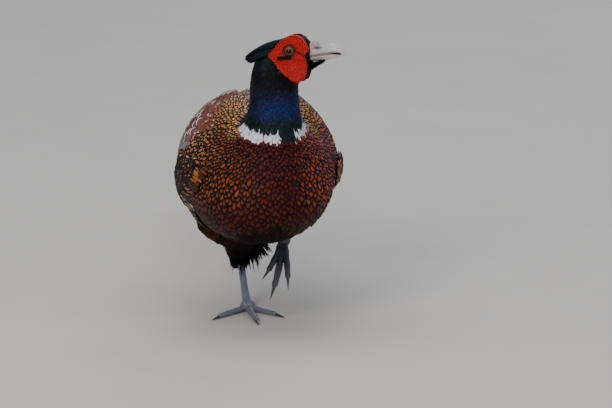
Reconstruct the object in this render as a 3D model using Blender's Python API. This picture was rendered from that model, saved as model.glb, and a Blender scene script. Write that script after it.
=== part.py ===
# Cock common pheasant, life size, standing on its right foot with the left foot lifted.
# Metres, +Z up. The bird faces -Y and its right side is -X.
# Every piece is placed in the trunk's midline frame, and an empty then brings the middle
# of the standing foot's sole to the origin.
import math

import bmesh
import bpy
import numpy as np
from mathutils import Matrix
from mathutils import Vector

# Driving dimensions
GAP = 0.00035
STANDING_FOOT = Vector((-0.0075, 0.045, 0.0))
TAIL_LENGTH = 0.440
EYE_RADIUS = 0.0062
BACK_SQUARENESS = 1.86
BELLY_SQUARENESS = 2.14
# The trunk leans over the standing foot: its sideways shift, and its lean for each metre of height
TRUNK_SHIFT = -0.0048
TRUNK_LEAN = 0.12
TRUNK_LEAN_LEVEL = 0.160

# Trunk stations from the breast to the rump: y, back height, belly height, widest level, half width
TRUNK_STATIONS = np.array([
    (-0.1160, 0.1560, 0.1470, 0.151, 0.0050),
    (-0.1125, 0.1750, 0.1290, 0.152, 0.0250),
    (-0.1010, 0.1960, 0.1120, 0.153, 0.0460),
    (-0.0760, 0.2140, 0.0970, 0.155, 0.0640),
    (-0.0350, 0.2290, 0.0880, 0.158, 0.0720),
    (0.0100, 0.2345, 0.0850, 0.160, 0.0720),
    (0.0550, 0.2280, 0.0900, 0.162, 0.0680),
    (0.0950, 0.2130, 0.1030, 0.164, 0.0575),
    (0.1300, 0.1980, 0.1240, 0.167, 0.0440),
    (0.1550, 0.1905, 0.1440, 0.169, 0.0320),
    (0.1720, 0.1850, 0.1580, 0.170, 0.0220),
])

# Neck stations: centre x, centre y, centre z, half width, half depth, turn of the section
NECK_STATIONS = np.array([
    (-0.0005, -0.0480, 0.180, 0.0440, 0.0480, 0.0),
    (-0.0010, -0.0560, 0.200, 0.0385, 0.0400, 0.0),
    (-0.0010, -0.0610, 0.215, 0.0320, 0.0325, 0.0),
    (-0.0010, -0.0640, 0.232, 0.0268, 0.0265, 6.0),
    (-0.0010, -0.0655, 0.248, 0.0250, 0.0215, 10.0),
    (-0.0008, -0.0660, 0.264, 0.0245, 0.0190, 12.0),
    (0.0005, -0.0665, 0.278, 0.0225, 0.0165, 12.0),
    (0.0030, -0.0670, 0.290, 0.0150, 0.0110, 12.0),
])

# The head looks far round to the bird's left. Its own frame: forward, side to the bird's right, up
HEAD_PLACE = Vector((0.0238, -0.0713, 0.2830))
HEAD_TURN = math.radians(71.0)
HEAD_ROLL = math.radians(9.0)
# Head stations: forward, crown height, under side, level of the widest part, half width
HEAD_STATIONS = np.array([
    (-0.0450, 0.0010, -0.0060, -0.003, 0.0040),
    (-0.0415, 0.0070, -0.0150, -0.002, 0.0110),
    (-0.0320, 0.0140, -0.0240, 0.000, 0.0165),
    (-0.0190, 0.0195, -0.0290, 0.003, 0.0188),
    (-0.0050, 0.0232, -0.0280, 0.006, 0.0185),
    (0.0045, 0.0225, -0.0190, 0.007, 0.0158),
    (0.0100, 0.0180, -0.0100, 0.007, 0.0108),
    (0.0140, 0.0135, -0.0050, 0.006, 0.0070),
])
EYE_PLACE = (-0.0090, 0.0150, 0.0092)
HEAD_CUT_CENTRE = (-0.0230, 0.0, -0.0190)
HEAD_CUT_TILT = math.radians(-11.0)
NECK_CUT_CENTRE = Vector((-0.001, -0.065, 0.2110))
NECK_CUT_TILT = math.radians(35.0)


def head_point(forward, side, up):
    """A point given in the head's own frame, brought into the trunk's frame."""
    ahead = Vector((math.sin(HEAD_TURN), -math.cos(HEAD_TURN), 0.0))
    level_right = Vector((ahead.y, -ahead.x, 0.0))
    top = Vector((0.0, 0.0, 1.0))
    right = level_right * math.cos(HEAD_ROLL) + top * math.sin(HEAD_ROLL)
    crown = top * math.cos(HEAD_ROLL) - level_right * math.sin(HEAD_ROLL)
    return HEAD_PLACE + ahead * forward + right * side + crown * up


def spline(rows, steps):
    """Smooth rows of numbers through the given stations, with a few steps between each two."""
    rows = np.asarray(rows, dtype=float)
    ends = np.vstack([2 * rows[0] - rows[1], rows, 2 * rows[-1] - rows[-2]])
    out = []
    for index in range(1, len(ends) - 2):
        before, start, stop, after = ends[index - 1:index + 3]
        for step in range(steps):
            t = step / steps
            out.append(0.5 * (2 * start + (stop - before) * t
                              + (2 * before - 5 * start + 4 * stop - after) * t ** 2
                              + (3 * start - before - 3 * stop + after) * t ** 3))
    out.append(rows[-1])
    return np.array(out)


def material(name, colour, roughness, metallic=0.0):
    finish = bpy.data.materials.new(name)
    finish.use_nodes = True
    shader = finish.node_tree.nodes["Principled BSDF"]
    shader.inputs["Base Color"].default_value = (*colour, 1.0)
    shader.inputs["Roughness"].default_value = roughness
    shader.inputs["Metallic"].default_value = metallic
    finish.diffuse_color = (*colour, 1.0)
    return finish


def add_mesh(name, points, faces, finish=None):
    mesh = bpy.data.meshes.new(name)
    mesh.from_pydata([tuple(point) for point in points], [], faces)
    shape = bmesh.new()
    shape.from_mesh(mesh)
    bmesh.ops.recalc_face_normals(shape, faces=shape.faces)
    shape.to_mesh(mesh)
    shape.free()
    piece = bpy.data.objects.new(name, mesh)
    bpy.context.scene.collection.objects.link(piece)
    if finish:
        mesh.materials.append(finish)
    return piece


def loft(name, rings, finish=None, start_point=None, end_point=None):
    """A closed tube through rings of the same count, with flat or pointed ends."""
    count = len(rings[0])
    points = [point for ring in rings for point in ring]
    faces = []
    for row in range(len(rings) - 1):
        for side in range(count):
            a = row * count + side
            b = row * count + (side + 1) % count
            faces.append((a, b, b + count, a + count))
    last = (len(rings) - 1) * count
    for first, tip in ((0, start_point), (last, end_point)):
        if tip is None:
            faces.append(tuple(range(first, first + count)))
        else:
            points.append(tip)
            for side in range(count):
                faces.append((first + side, first + (side + 1) % count, len(points) - 1))
    return add_mesh(name, points, faces, finish)


def closed_band(name, rings, finish=None):
    """A ring-shaped body through rings of the same count, the last joined to the first."""
    count = len(rings[0])
    points = [point for ring in rings for point in ring]
    faces = []
    for row in range(len(rings)):
        after = (row + 1) % len(rings)
        for side in range(count):
            beside = (side + 1) % count
            faces.append((row * count + side, row * count + beside, after * count + beside, after * count + side))
    return add_mesh(name, points, faces, finish)


def vane(name, stations, finish=None):
    """A thin blade through stations of left, middle and right points, each with its outward way.

    Both faces are split into triangles along the same diagonals.
    """
    points = []
    faces = []
    across = len(stations[0][0])
    for upper, outward, thick in stations:
        points += [point + outward * thick / 2 for point in upper]
        points += [point - outward * thick / 2 for point in upper]
    ring = 2 * across
    for row in range(len(stations) - 1):
        a = row * ring
        b = a + ring
        for step in range(across - 1):
            low = step
            high = step + 1
            faces += [(a + low, a + high, b + high), (a + low, b + high, b + low)]
            low += across
            high += across
            faces += [(a + low, b + high, a + high), (a + low, b + low, b + high)]
        for edge in (0, across - 1):
            faces += [(a + edge, b + edge, b + edge + across), (a + edge, b + edge + across, a + edge + across)]
    for start in (0, (len(stations) - 1) * ring):
        for step in range(across - 1):
            faces.append((start + step, start + step + 1, start + step + 1 + across, start + step + across))
    return add_mesh(name, points, faces, finish)


def remove(pieces):
    for piece in pieces:
        mesh = piece.data
        bpy.data.objects.remove(piece)
        bpy.data.meshes.remove(mesh)


def surfaces(mesh):
    """The closed surfaces of a mesh, as lists of face numbers, the one with most volume first."""
    shape = bmesh.new()
    shape.from_mesh(mesh)
    shape.faces.ensure_lookup_table()
    seen = set()
    found = []
    for seed in shape.faces:
        if seed.index in seen:
            continue
        seen.add(seed.index)
        stack = [seed]
        members = []
        while stack:
            face = stack.pop()
            members.append(face)
            for edge in face.edges:
                if len(edge.link_faces) != 2:
                    continue
                for other in edge.link_faces:
                    if other.index not in seen:
                        seen.add(other.index)
                        stack.append(other)
        volume = 0.0
        for face in members:
            corners = [vert.co for vert in face.verts]
            for index in range(1, len(corners) - 1):
                volume += corners[0].dot(corners[index].cross(corners[index + 1])) / 6.0
        found.append((abs(volume), [face.index for face in members]))
    shape.free()
    found.sort(key=lambda entry: -entry[0])
    return [members for volume, members in found]


def keep_faces(mesh, members):
    keep = set(members)
    shape = bmesh.new()
    shape.from_mesh(mesh)
    shape.faces.ensure_lookup_table()
    drop = [face for face in shape.faces if face.index not in keep]
    bmesh.ops.delete(shape, geom=drop, context="FACES")
    bmesh.ops.triangulate(shape, faces=shape.faces)
    shape.to_mesh(mesh)
    shape.free()


def combine(target, others, operation, solver="EXACT", only_largest=True):
    """One Boolean of the target with a collection of closed meshes, applied at once."""
    group = bpy.data.collections.new("operands")
    for other in others:
        group.objects.link(other)
    change = target.modifiers.new("combine", "BOOLEAN")
    change.operation = operation
    change.solver = solver
    change.operand_type = "COLLECTION"
    change.collection = group
    change.use_self = True
    bpy.context.view_layer.update()
    result = target.evaluated_get(bpy.context.evaluated_depsgraph_get())
    fused = bpy.data.meshes.new_from_object(result)
    fused.name = target.name
    target.modifiers.clear()
    finish = target.data.materials[0] if target.data.materials else None
    target.data = fused
    fused.materials.clear()
    if finish:
        fused.materials.append(finish)
    bpy.data.collections.remove(group)
    remove(others)
    if only_largest:
        keep_faces(fused, surfaces(fused)[0])
    return target


def thinned(piece, angle=1.2):
    """Drops the points that lie on straight edges and flat faces."""
    shape = bmesh.new()
    shape.from_mesh(piece.data)
    bmesh.ops.dissolve_limit(shape, angle_limit=math.radians(angle), verts=shape.verts, edges=shape.edges)
    bmesh.ops.triangulate(shape, faces=shape.faces)
    shape.to_mesh(piece.data)
    shape.free()
    return piece


def grown(piece, distance=GAP):
    """A copy of a piece whose points stand a little further out, to cut its neighbours with."""
    mesh = piece.data.copy()
    copy = bpy.data.objects.new(piece.name + "_grown", mesh)
    bpy.context.scene.collection.objects.link(copy)
    shape = bmesh.new()
    shape.from_mesh(mesh)
    shape.normal_update()
    moves = [(vert, vert.normal * distance * vert.calc_shell_factor()) for vert in shape.verts]
    for vert, move in moves:
        if move.length > 2.0 * distance:
            move = move.normalized() * 2.0 * distance
        vert.co += move
    shape.to_mesh(mesh)
    shape.free()
    return copy


def clear_of(piece, neighbours, solver="EXACT"):
    """Cuts a piece back to a thin gap from the pieces that it grows from."""
    for neighbour in neighbours:
        combine(piece, [grown(neighbour)], "DIFFERENCE", solver)
    return piece


def ball(name, centre, radius, rings=8, sides=14, squash=(1.0, 1.0, 1.0)):
    rows = []
    for step in range(1, rings):
        angle = math.pi * step / rings
        rows.append([centre + Vector((radius * squash[0] * math.sin(angle) * math.cos(turn),
                                      radius * squash[1] * math.sin(angle) * math.sin(turn),
                                      radius * squash[2] * math.cos(angle)))
                     for turn in (2 * math.pi * side / sides for side in range(sides))])
    pole = Vector((0, 0, radius * squash[2]))
    return loft(name, rows, None, centre + pole, centre - pole)


def slab(name, size, thickness, placing):
    half = size / 2
    corners = [placing @ Vector((x, y, z))
               for z in (-thickness / 2, thickness / 2)
               for x, y in ((-half, -half), (half, -half), (half, half), (-half, half))]
    faces = [(0, 1, 2, 3), (4, 5, 6, 7), (0, 1, 5, 4), (1, 2, 6, 5), (2, 3, 7, 6), (3, 0, 4, 7)]
    return add_mesh(name, corners, faces)


# The trunk's surface, read by place along the body and angle round it
TRUNK_ROWS = spline(TRUNK_STATIONS, 12)


def trunk_shape(y):
    return [np.interp(y, TRUNK_ROWS[:, 0], TRUNK_ROWS[:, column]) for column in range(1, 5)]


def trunk_point(y, angle, lift=0.0):
    """A point on the trunk, angle 0 on the +X side and a quarter turn on the back."""
    top, bottom, level, half = trunk_shape(y)
    c = math.cos(angle)
    s = math.sin(angle)
    power = 2 / (BACK_SQUARENESS if s > 0 else BELLY_SQUARENESS)
    reach = (top - level if s > 0 else level - bottom) + lift
    x = (half + lift) * math.copysign(abs(c) ** power, c)
    z = level + reach * math.copysign(abs(s) ** power, s)
    return Vector((x + TRUNK_SHIFT + TRUNK_LEAN * (z - TRUNK_LEAN_LEVEL), y, z))


def make_trunk(sides=26, steps=2):
    rows = spline(TRUNK_STATIONS, steps)[:, 0]
    rings = [[trunk_point(y, 2 * math.pi * side / sides) for side in range(sides)] for y in rows]
    front = Vector((TRUNK_SHIFT, TRUNK_STATIONS[0][0] - 0.0006, TRUNK_STATIONS[0][3]))
    rump = Vector((TRUNK_SHIFT, TRUNK_STATIONS[-1][0] + 0.0005, TRUNK_STATIONS[-1][3]))
    return loft("torso", rings, None, front, rump)


def make_neck_core(sides=22):
    rings = []
    for x, y, z, wide, deep, turn in spline(NECK_STATIONS, 2):
        twist = math.radians(turn)
        ring = []
        for side in range(sides):
            angle = 2 * math.pi * side / sides
            across = wide * math.cos(angle)
            along = deep * math.sin(angle)
            ring.append(Vector((x + across * math.cos(twist) - along * math.sin(twist),
                                y + across * math.sin(twist) + along * math.cos(twist), z)))
        rings.append(ring)
    return loft("neck_core", rings)


def make_head_core(sides=22):
    rings = []
    for ahead, top, bottom, level, half in spline(HEAD_STATIONS, 2):
        ring = []
        for side in range(sides):
            angle = 2 * math.pi * side / sides
            s = math.sin(angle)
            reach = top - level if s > 0 else level - bottom
            ring.append(head_point(ahead, half * math.cos(angle), level + reach * s))
        rings.append(ring)
    back = head_point(-0.0456, 0.0, -0.003)
    front = head_point(0.0146, 0.0, 0.0055)
    return loft("head_core", rings, None, back, front)


def make_body(finishes):
    """Torso, neck and head, modelled whole and parted with two thin cuts."""
    whole = make_trunk()
    combine(whole, [make_neck_core(), make_head_core()], "UNION")
    neck_cut = Matrix.Translation(NECK_CUT_CENTRE) @ Matrix.Rotation(NECK_CUT_TILT, 4, "X")
    ahead = Vector((math.sin(HEAD_TURN), -math.cos(HEAD_TURN), 0.0))
    turn = math.atan2(ahead.y, ahead.x)
    head_cut = (Matrix.Translation(head_point(*HEAD_CUT_CENTRE)) @ Matrix.Rotation(turn, 4, "Z")
                @ Matrix.Rotation(-HEAD_CUT_TILT, 4, "Y"))
    combine(whole, [slab("neck_cut", 0.130, GAP, neck_cut), slab("head_cut", 0.090, GAP, head_cut)],
            "DIFFERENCE", only_largest=False)
    parts = {}
    for members in surfaces(whole.data)[:3]:
        mesh = whole.data.copy()
        keep_faces(mesh, members)
        middle = sum((vert.co for vert in mesh.vertices), Vector()) / len(mesh.vertices)
        name = "torso" if middle.z < 0.19 else "neck" if middle.z < 0.268 else "head"
        parts[name] = mesh
    remove([whole])
    pieces = {}
    for name, mesh in parts.items():
        mesh.name = name
        mesh.materials.clear()
        mesh.materials.append(finishes[name])
        pieces[name] = bpy.data.objects.new(name, mesh)
        bpy.context.scene.collection.objects.link(pieces[name])
    return pieces


def make_eyes(head, finish):
    eyes = []
    sockets = []
    for name, sign in (("eye_right", 1), ("eye_left", -1)):
        ahead, side, up = EYE_PLACE
        centre = head_point(ahead, sign * side, up)
        eye = ball(name, centre, EYE_RADIUS)
        eye.data.materials.append(finish)
        eyes.append(eye)
        sockets.append(ball("socket", centre, EYE_RADIUS + GAP))
    combine(head, sockets, "DIFFERENCE")
    return eyes


# Bill stations: forward, ridge height, cutting edge height, half width
UPPER_BILL = np.array([
    (0.0075, 0.0165, 0.0034, 0.0088),
    (0.0150, 0.0166, 0.0040, 0.0080),
    (0.0200, 0.0160, 0.0044, 0.0074),
    (0.0270, 0.0162, 0.0052, 0.0062),
    (0.0350, 0.0142, 0.0062, 0.0047),
    (0.0405, 0.0110, 0.0060, 0.0030),
    (0.0435, 0.0075, 0.0050, 0.0014),
])
# Lower bill stations: forward, cutting edge height, under side, half width
LOWER_BILL = np.array([
    (0.0075, 0.0030, -0.0042, 0.0078),
    (0.0160, 0.0036, -0.0036, 0.0070),
    (0.0230, 0.0040, -0.0024, 0.0060),
    (0.0300, 0.0040, -0.0008, 0.0050),
    (0.0360, 0.0040, 0.0005, 0.0036),
    (0.0400, 0.0040, 0.0018, 0.0020),
])


# Share of the nostril covers' and slits' length that their three ways take: sideways, forward, up
NOSTRIL_SIZE = (0.42, 1.0, 0.40)


def head_turned(size):
    """Sizes given sideways, forward and up on the head, as sizes along X, Y and Z."""
    sideways, forward, up = size
    return (forward, sideways, up) if math.sin(HEAD_TURN) > 0.7 else (sideways, forward, up)


def make_bill(head, finish):
    upper = []
    for ahead, ridge, edge, half in spline(UPPER_BILL, 2):
        ring = [head_point(ahead, half * math.cos(angle) ** 0.8 if math.cos(angle) > 0
                           else -half * abs(math.cos(angle)) ** 0.8, edge + (ridge - edge) * math.sin(angle))
                for angle in (math.pi * step / 8 for step in range(9))]
        upper.append(ring)
    lower = []
    for ahead, edge, under, half in spline(LOWER_BILL, 2):
        lower.append([head_point(ahead, half * math.copysign(abs(math.cos(angle)) ** 0.8, math.cos(angle)),
                                 edge - (edge - under) * math.sin(angle))
                      for angle in (math.pi * step / 6 for step in range(7))])
    top = loft("bill_upper", upper, finish, None, head_point(0.0445, 0.0, 0.0052))
    bottom = loft("bill_lower", lower, finish, None, head_point(0.0412, 0.0, 0.0034))
    covers = []
    slits = []
    for side in (-1, 1):
        flat = head_turned(NOSTRIL_SIZE)
        covers.append(ball("nostril_cover", head_point(0.0160, side * 0.0052, 0.0128), 0.0038, 5, 8, flat))
        slits.append(ball("nostril_slit", head_point(0.0186, side * 0.0076, 0.0104), 0.0029, 4, 6, flat))
    combine(top, covers, "UNION")
    combine(top, slits, "DIFFERENCE")
    clear_of(top, [head])
    clear_of(bottom, [head])
    return [top, bottom]


# The bare red face, seen from its side: forward and up from the head's place
WATTLE_OUTLINE = [(-0.0020, 0.0240), (0.0075, 0.0185), (0.0120, 0.0104), (0.0066, 0.0040), (0.0092, -0.0040),
                  (0.0090, -0.0130), (0.0050, -0.0206), (-0.0010, -0.0228), (-0.0085, -0.0180),
                  (-0.0160, -0.0120), (-0.0225, -0.0030), (-0.0305, 0.0040), (-0.0240, 0.0092),
                  (-0.0170, 0.0176), (-0.0105, 0.0226)]


def wattle_side(ahead, up):
    """How far the middle of the bare face lies from the head's middle plane."""
    return 0.0192 - 0.0055 * max((up + 0.002) / 0.027, 0.0) ** 2 - 0.0040 * ((ahead + 0.006) / 0.024) ** 2


def wattle_point(sign, ahead, up, lift):
    return head_point(ahead, sign * (wattle_side(ahead, up) + lift), up)


# Rings of the bare face from its edge to the eye: share of the way to the outline, and lift.
# The edge is a rolled fold, with a groove inside it.
WATTLE_RINGS = [(1.00, -0.0006), (0.99, 0.0014), (0.90, 0.0024), (0.80, 0.0012), (0.50, 0.0017)]
# Rings round the eye: radius and lift. The inner two are the lids.
LID_RINGS = [(0.0078, 0.0010), (0.0066, 0.0022), (0.0054, 0.0016)]
BULB_SHARES = ((0.66, 9), (0.34, 5))
BULB_RADIUS = 0.0021


def make_wattles(head, neck, finish):
    """The bare face on each side: a rolled edge, rows of small bulbs, and the lids round the eye."""
    pieces = []
    eye_ahead = EYE_PLACE[0]
    eye_up = EYE_PLACE[2]
    count = len(WATTLE_OUTLINE)
    for name, sign in (("wattle_right", 1), ("wattle_left", -1)):
        def outline_point(index, share, lift, sign=sign):
            start = WATTLE_OUTLINE[math.floor(index) % count]
            stop = WATTLE_OUTLINE[(math.floor(index) + 1) % count]
            part = index - math.floor(index)
            ahead = start[0] + (stop[0] - start[0]) * part - eye_ahead
            up = start[1] + (stop[1] - start[1]) * part - eye_up
            away = math.hypot(ahead, up)
            reach = 0.0078 + (away - 0.0078) * share
            return wattle_point(sign, eye_ahead + ahead / away * reach, eye_up + up / away * reach, lift)

        rings = [[outline_point(index, share, lift) for index in range(count)] for share, lift in WATTLE_RINGS]
        for radius, lift in LID_RINGS + [(0.0054, -0.0030)]:
            ring = []
            for ahead, up in WATTLE_OUTLINE:
                turn = math.atan2(up - eye_up, ahead - eye_ahead)
                ring.append(wattle_point(sign, eye_ahead + radius * math.cos(turn),
                                         eye_up + radius * math.sin(turn), lift))
            rings.append(ring)
        rings.append([outline_point(index, 0.97, -0.0030) for index in range(count)])
        piece = closed_band(name, rings, finish)
        bulbs = []
        for share, number in BULB_SHARES:
            for step in range(number):
                index = (step + 0.5 * (share < 0.5)) * count / number
                radius = BULB_RADIUS * (1.0 + 0.18 * math.sin(2.3 * step + 9 * share))
                low = outline_point(index, share, -0.0004)
                high = outline_point(index, share, 0.0014 + radius * 0.75)
                bulbs.append(round_bar("bulb", low, high, radius, radius * 0.50, 5))
        combine(piece, bulbs, "UNION")
        eye = head_point(eye_ahead, sign * EYE_PLACE[1], eye_up)
        for cutter in (grown(head), grown(neck), ball("pit", eye, EYE_RADIUS + GAP)):
            combine(piece, [cutter], "DIFFERENCE")
        pieces.append(thinned(piece))
    return pieces


def round_bar(name, start, stop, start_radius, stop_radius, sides=12, finish=None):
    axis = (stop - start).normalized()
    side = axis.orthogonal().normalized()
    other = axis.cross(side)
    rings = [[centre + (side * math.cos(angle) + other * math.sin(angle)) * radius
              for angle in (2 * math.pi * step / sides for step in range(sides))]
             for centre, radius in ((start, start_radius), (stop, stop_radius))]
    return loft(name, rings, finish)


# Locks of an ear tuft: root level and tip level on the head, tip's distance back and its way outwards
TUFT_LOCKS = [(0.0138, 0.0052, -0.0475, 0.0150), (0.0118, 0.0018, -0.0520, 0.0168), (0.0100, -0.0015, -0.0545, 0.0180),
              (0.0082, -0.0035, -0.0510, 0.0196), (0.0068, -0.0050, -0.0470, 0.0208)]


def make_tufts(neighbours, finish):
    """The ear tufts: flat, tapered locks that overlap and bend down towards their tips."""
    pieces = []
    for name, sign in (("ear_tuft_right", 1), ("ear_tuft_left", -1)):
        root = head_point(-0.0250, sign * 0.0150, 0.0108)
        piece = ball(name, root, 0.0060, 5, 8, (0.95, 0.75, 0.85))
        piece.data.materials.append(finish)
        locks = []
        for root_up, tip_up, tip_ahead, tip_side in TUFT_LOCKS:
            stations = []
            for share in (0.0, 0.4, 0.75, 1.0):
                ahead = -0.0250 + (tip_ahead + 0.0250) * share
                up = root_up + (tip_up - root_up) * share ** 1.3 + 0.0016 * math.sin(math.pi * share)
                side = 0.0145 + (tip_side - 0.0145) * share
                half = 0.0027 * (1.0 - share ** 2) + 0.0003
                spine = [head_point(ahead, sign * side, up + half * step) for step in (1, -1)]
                outward = (head_point(0, sign, 0) - head_point(0, 0, 0)).normalized()
                stations.append((spine, outward, 0.0009 - 0.0004 * share))
            locks.append(vane("lock", stations))
        combine(piece, locks, "UNION")
        thinned(clear_of(piece, neighbours))
        pieces.append(piece)
    return pieces


# Shoulder of the folded wing: along the body, lower and upper edge as angles round the trunk in
# degrees, and thickness
SHOULDER_STATIONS = np.array([
    (-0.054, 12.0, 28.0, 0.0014),
    (-0.044, -4.0, 46.0, 0.0028),
    (-0.020, -16.0, 60.0, 0.0040),
    (0.010, -21.0, 66.0, 0.0040),
    (0.034, -20.0, 66.0, 0.0032),
])


# The wing's feathers in tiers. For each tier: how many, root and tip of the uppermost feather
# and of the lowest, as place along the body and angle, then width, lift from the body at the
# root and at the tip, and how far the lower edge stands out over the next feather
WING_TIERS = [
    ("primary", 4, (0.026, 4.0), (0.136, 20.0), (0.026, -12.0), (0.160, 12.0), 0.0150, (0.0008, 0.0012), 0.0012),
    ("secondary", 7, (0.006, 54.0), (0.098, 50.0), (0.024, -8.0), (0.132, 4.0), 0.0265, (0.0022, 0.0030), 0.0019),
    ("covert", 5, (-0.010, 50.0), (0.046, 52.0), (-0.006, -2.0), (0.058, -6.0), 0.0250, (0.0036, 0.0050), 0.0014),
]
VANE_THICKNESS = 0.0006


def wing_vane(tier, number, sign):
    """One feather of the folded wing, lying along the trunk's side."""
    name, count, top_root, top_tip, low_root, low_tip, width, lifts, shingle = tier
    place = number / (count - 1)
    root = [top_root[i] + (low_root[i] - top_root[i]) * place for i in (0, 1)]
    tip = [top_tip[i] + (low_tip[i] - top_tip[i]) * place for i in (0, 1)]
    bow = 0.006 * math.sin(math.pi * place)
    stack = 0.0009 * (count - 1 - number) if name == "primary" else 0.0
    segments = 3 if name == "covert" else 4
    stations = []
    for step in range(segments + 1):
        share = step / segments
        y = root[0] + (tip[0] + bow - root[0]) * share
        angle = math.radians(root[1] + (tip[1] - root[1]) * share)
        half = width / 2 * min(1.0, 0.55 + 1.8 * share) * (1.0 - 0.90 * share ** 5)
        lift = lifts[0] + (lifts[1] - lifts[0]) * share + stack * share ** 3
        around = max(trunk_shape(y)[3], 0.030)
        edges = []
        for side in (1, -1):
            turn = angle + side * half / around
            turn = turn if sign > 0 else math.pi - turn
            edges.append(trunk_point(y, turn, lift + shingle * (1 - side) / 2))
        middle = (edges[0] + edges[1]) / 2
        outward = Vector((middle.x - TRUNK_SHIFT, 0.0, middle.z - trunk_shape(y)[2])).normalized()
        stations.append((edges, outward, VANE_THICKNESS * (1.0 - 0.3 * share)))
    return vane(name, stations)


def make_wings(torso, finish):
    """Folded wings: a smooth shoulder, and three tiers of overlapping feathers rooted in it."""
    pieces = []
    for name, sign in (("wing_right", -1), ("wing_left", 1)):
        across = 7
        rings = []
        for y, low, high, thick in spline(SHOULDER_STATIONS, 1):
            outer = []
            inner = []
            for step in range(across + 1):
                share = step / across
                angle = math.radians(low + (high - low) * share)
                angle = angle if sign > 0 else math.pi - angle
                lift = 0.0010 + thick * math.sin(math.pi * share) ** 0.4
                outer.append(trunk_point(y, angle, lift))
                inner.append(trunk_point(y, angle, -0.0020))
            rings.append(outer + inner[::-1])
        piece = loft(name, rings, finish)
        vanes = [wing_vane(tier, number, sign) for tier in WING_TIERS for number in range(tier[1])]
        combine(piece, vanes, "UNION")
        thinned(clear_of(piece, [torso]))
        pieces.append(piece)
    return pieces


TAIL_ROOT = Vector((-0.0030, 0.1735, 0.1715))
TAIL_PITCH = math.radians(-12.0)
TAIL_YAW = math.radians(10.5)


def tail_point(along, across, up):
    """A point of the tail: along its own axis, to its +X side, and up."""
    level = Vector((math.sin(TAIL_YAW), math.cos(TAIL_YAW), 0.0))
    axis = level * math.cos(TAIL_PITCH) + Vector((0, 0, math.sin(TAIL_PITCH)))
    side = Vector((math.cos(TAIL_YAW), -math.sin(TAIL_YAW), 0.0))
    return TAIL_ROOT + axis * along + side * across + side.cross(axis) * up


# Core of the tail's root: along, half width, height above and below its axis
TAIL_CORE = np.array([
    (0.0000, 0.0180, 0.0125, 0.0120),
    (0.0250, 0.0175, 0.0110, 0.0110),
    (0.0500, 0.0150, 0.0085, 0.0095),
    (0.0700, 0.0110, 0.0055, 0.0070),
])
# Tail feathers from the middle pair outwards: share of the tail's length, and width
TAIL_PAIRS = [(1.00, 0.026), (0.90, 0.025), (0.74, 0.024), (0.59, 0.023), (0.47, 0.022), (0.38, 0.020),
              (0.32, 0.018)]
TAIL_LAYER = 0.00098
# Feathers over the tail's root: place across, layer and length
COVERTS_OF_TAIL = [(-5.0, 0.0080, 0.080), (5.0, 0.0091, 0.084), (0.0, 0.0102, 0.104)]
TAIL_ARCH_RADIUS = 0.130


def tail_vane(pair, side, layer, root=0.012, length=None, width=None, fan=None):
    """One tail feather. All of them follow one low arch, each in its own layer."""
    share_of_length, full_width = TAIL_PAIRS[pair]
    length = length or TAIL_LENGTH * share_of_length - root
    width = width or full_width
    fan = math.radians(0.3 + 0.75 * pair) if fan is None else fan
    segments = 6 if length > 0.30 else 4
    stations = []
    for step in range(segments + 1):
        share = step / segments
        along = root + length * share
        middle = side * (0.0012 + 0.0011 * pair + math.tan(fan) * along)
        half = width / 2 * min(1.0, 0.40 + 2.4 * share) * (1.0 - 0.94 * share ** 2.6)
        points = []
        for step_across in (-1, 0, 1):
            across = middle + step_across * half
            points.append(tail_point(along, across, layer - across ** 2 / (2 * TAIL_ARCH_RADIUS)))
        outward = (tail_point(along, middle, 0.01) - tail_point(along, middle, 0.0)).normalized()
        stations.append((points, outward, VANE_THICKNESS * (1.0 - 0.25 * share)))
    return vane("tail_feather", stations)


def make_tail(torso, finish):
    """The long tail: graded pairs of feathers, the middle pair on top, with coverts over the root."""
    rings = []
    for along, half, above, below in spline(TAIL_CORE, 1):
        ring = []
        for step in range(12):
            angle = 2 * math.pi * step / 12
            reach = above if math.sin(angle) > 0 else below
            ring.append(tail_point(along, half * math.cos(angle), reach * math.sin(angle)))
        rings.append(ring)
    piece = loft("tail", rings, finish, None, tail_point(0.078, 0.0, -0.0005))
    feathers = []
    for pair in range(len(TAIL_PAIRS)):
        for side in (1, -1):
            layer = 0.0065 - TAIL_LAYER * (2 * pair + (side < 0))
            feathers.append(tail_vane(pair, side, layer))
    for side, layer, length in COVERTS_OF_TAIL:
        feathers.append(tail_vane(0, side, layer, 0.004, length, 0.018, math.radians(0.6)))
    combine(piece, feathers, "UNION")
    return thinned(clear_of(piece, [torso]))


# Legs: heel joint and root of the toes, in the trunk's frame
LEGS = {
    "right": {"heel": Vector((-0.0085, 0.0860, 0.0510)), "foot": STANDING_FOOT},
    "left": {"heel": Vector((0.0350, 0.0720, 0.1060)), "foot": Vector((0.0240, 0.0150, 0.0780))},
}


# The feathered thigh from the knee to its fringe: the way's turning points and the radii there
THIGH_PATH = {
    "right": [(Vector((-0.0440, 0.0100, 0.1100)), 0.0275), (Vector((-0.0290, 0.0366, 0.0935)), 0.0250),
              (Vector((-0.0150, 0.0571, 0.0770)), 0.0192), (Vector((-0.0105, 0.0740, 0.0620)), 0.0156),
              (Vector((-0.0088, 0.0840, 0.0495)), 0.0138), (Vector((-0.0085, 0.0815, 0.0350)), 0.0085)],
    "left": [(Vector((0.0460, 0.0050, 0.1250)), 0.0200), (Vector((0.0420, 0.0220, 0.1150)), 0.0210),
             (Vector((0.0380, 0.0390, 0.1045)), 0.0200), (Vector((0.0350, 0.0520, 0.0965)), 0.0165),
             (Vector((0.0325, 0.0620, 0.0905)), 0.0090)],
}


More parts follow.
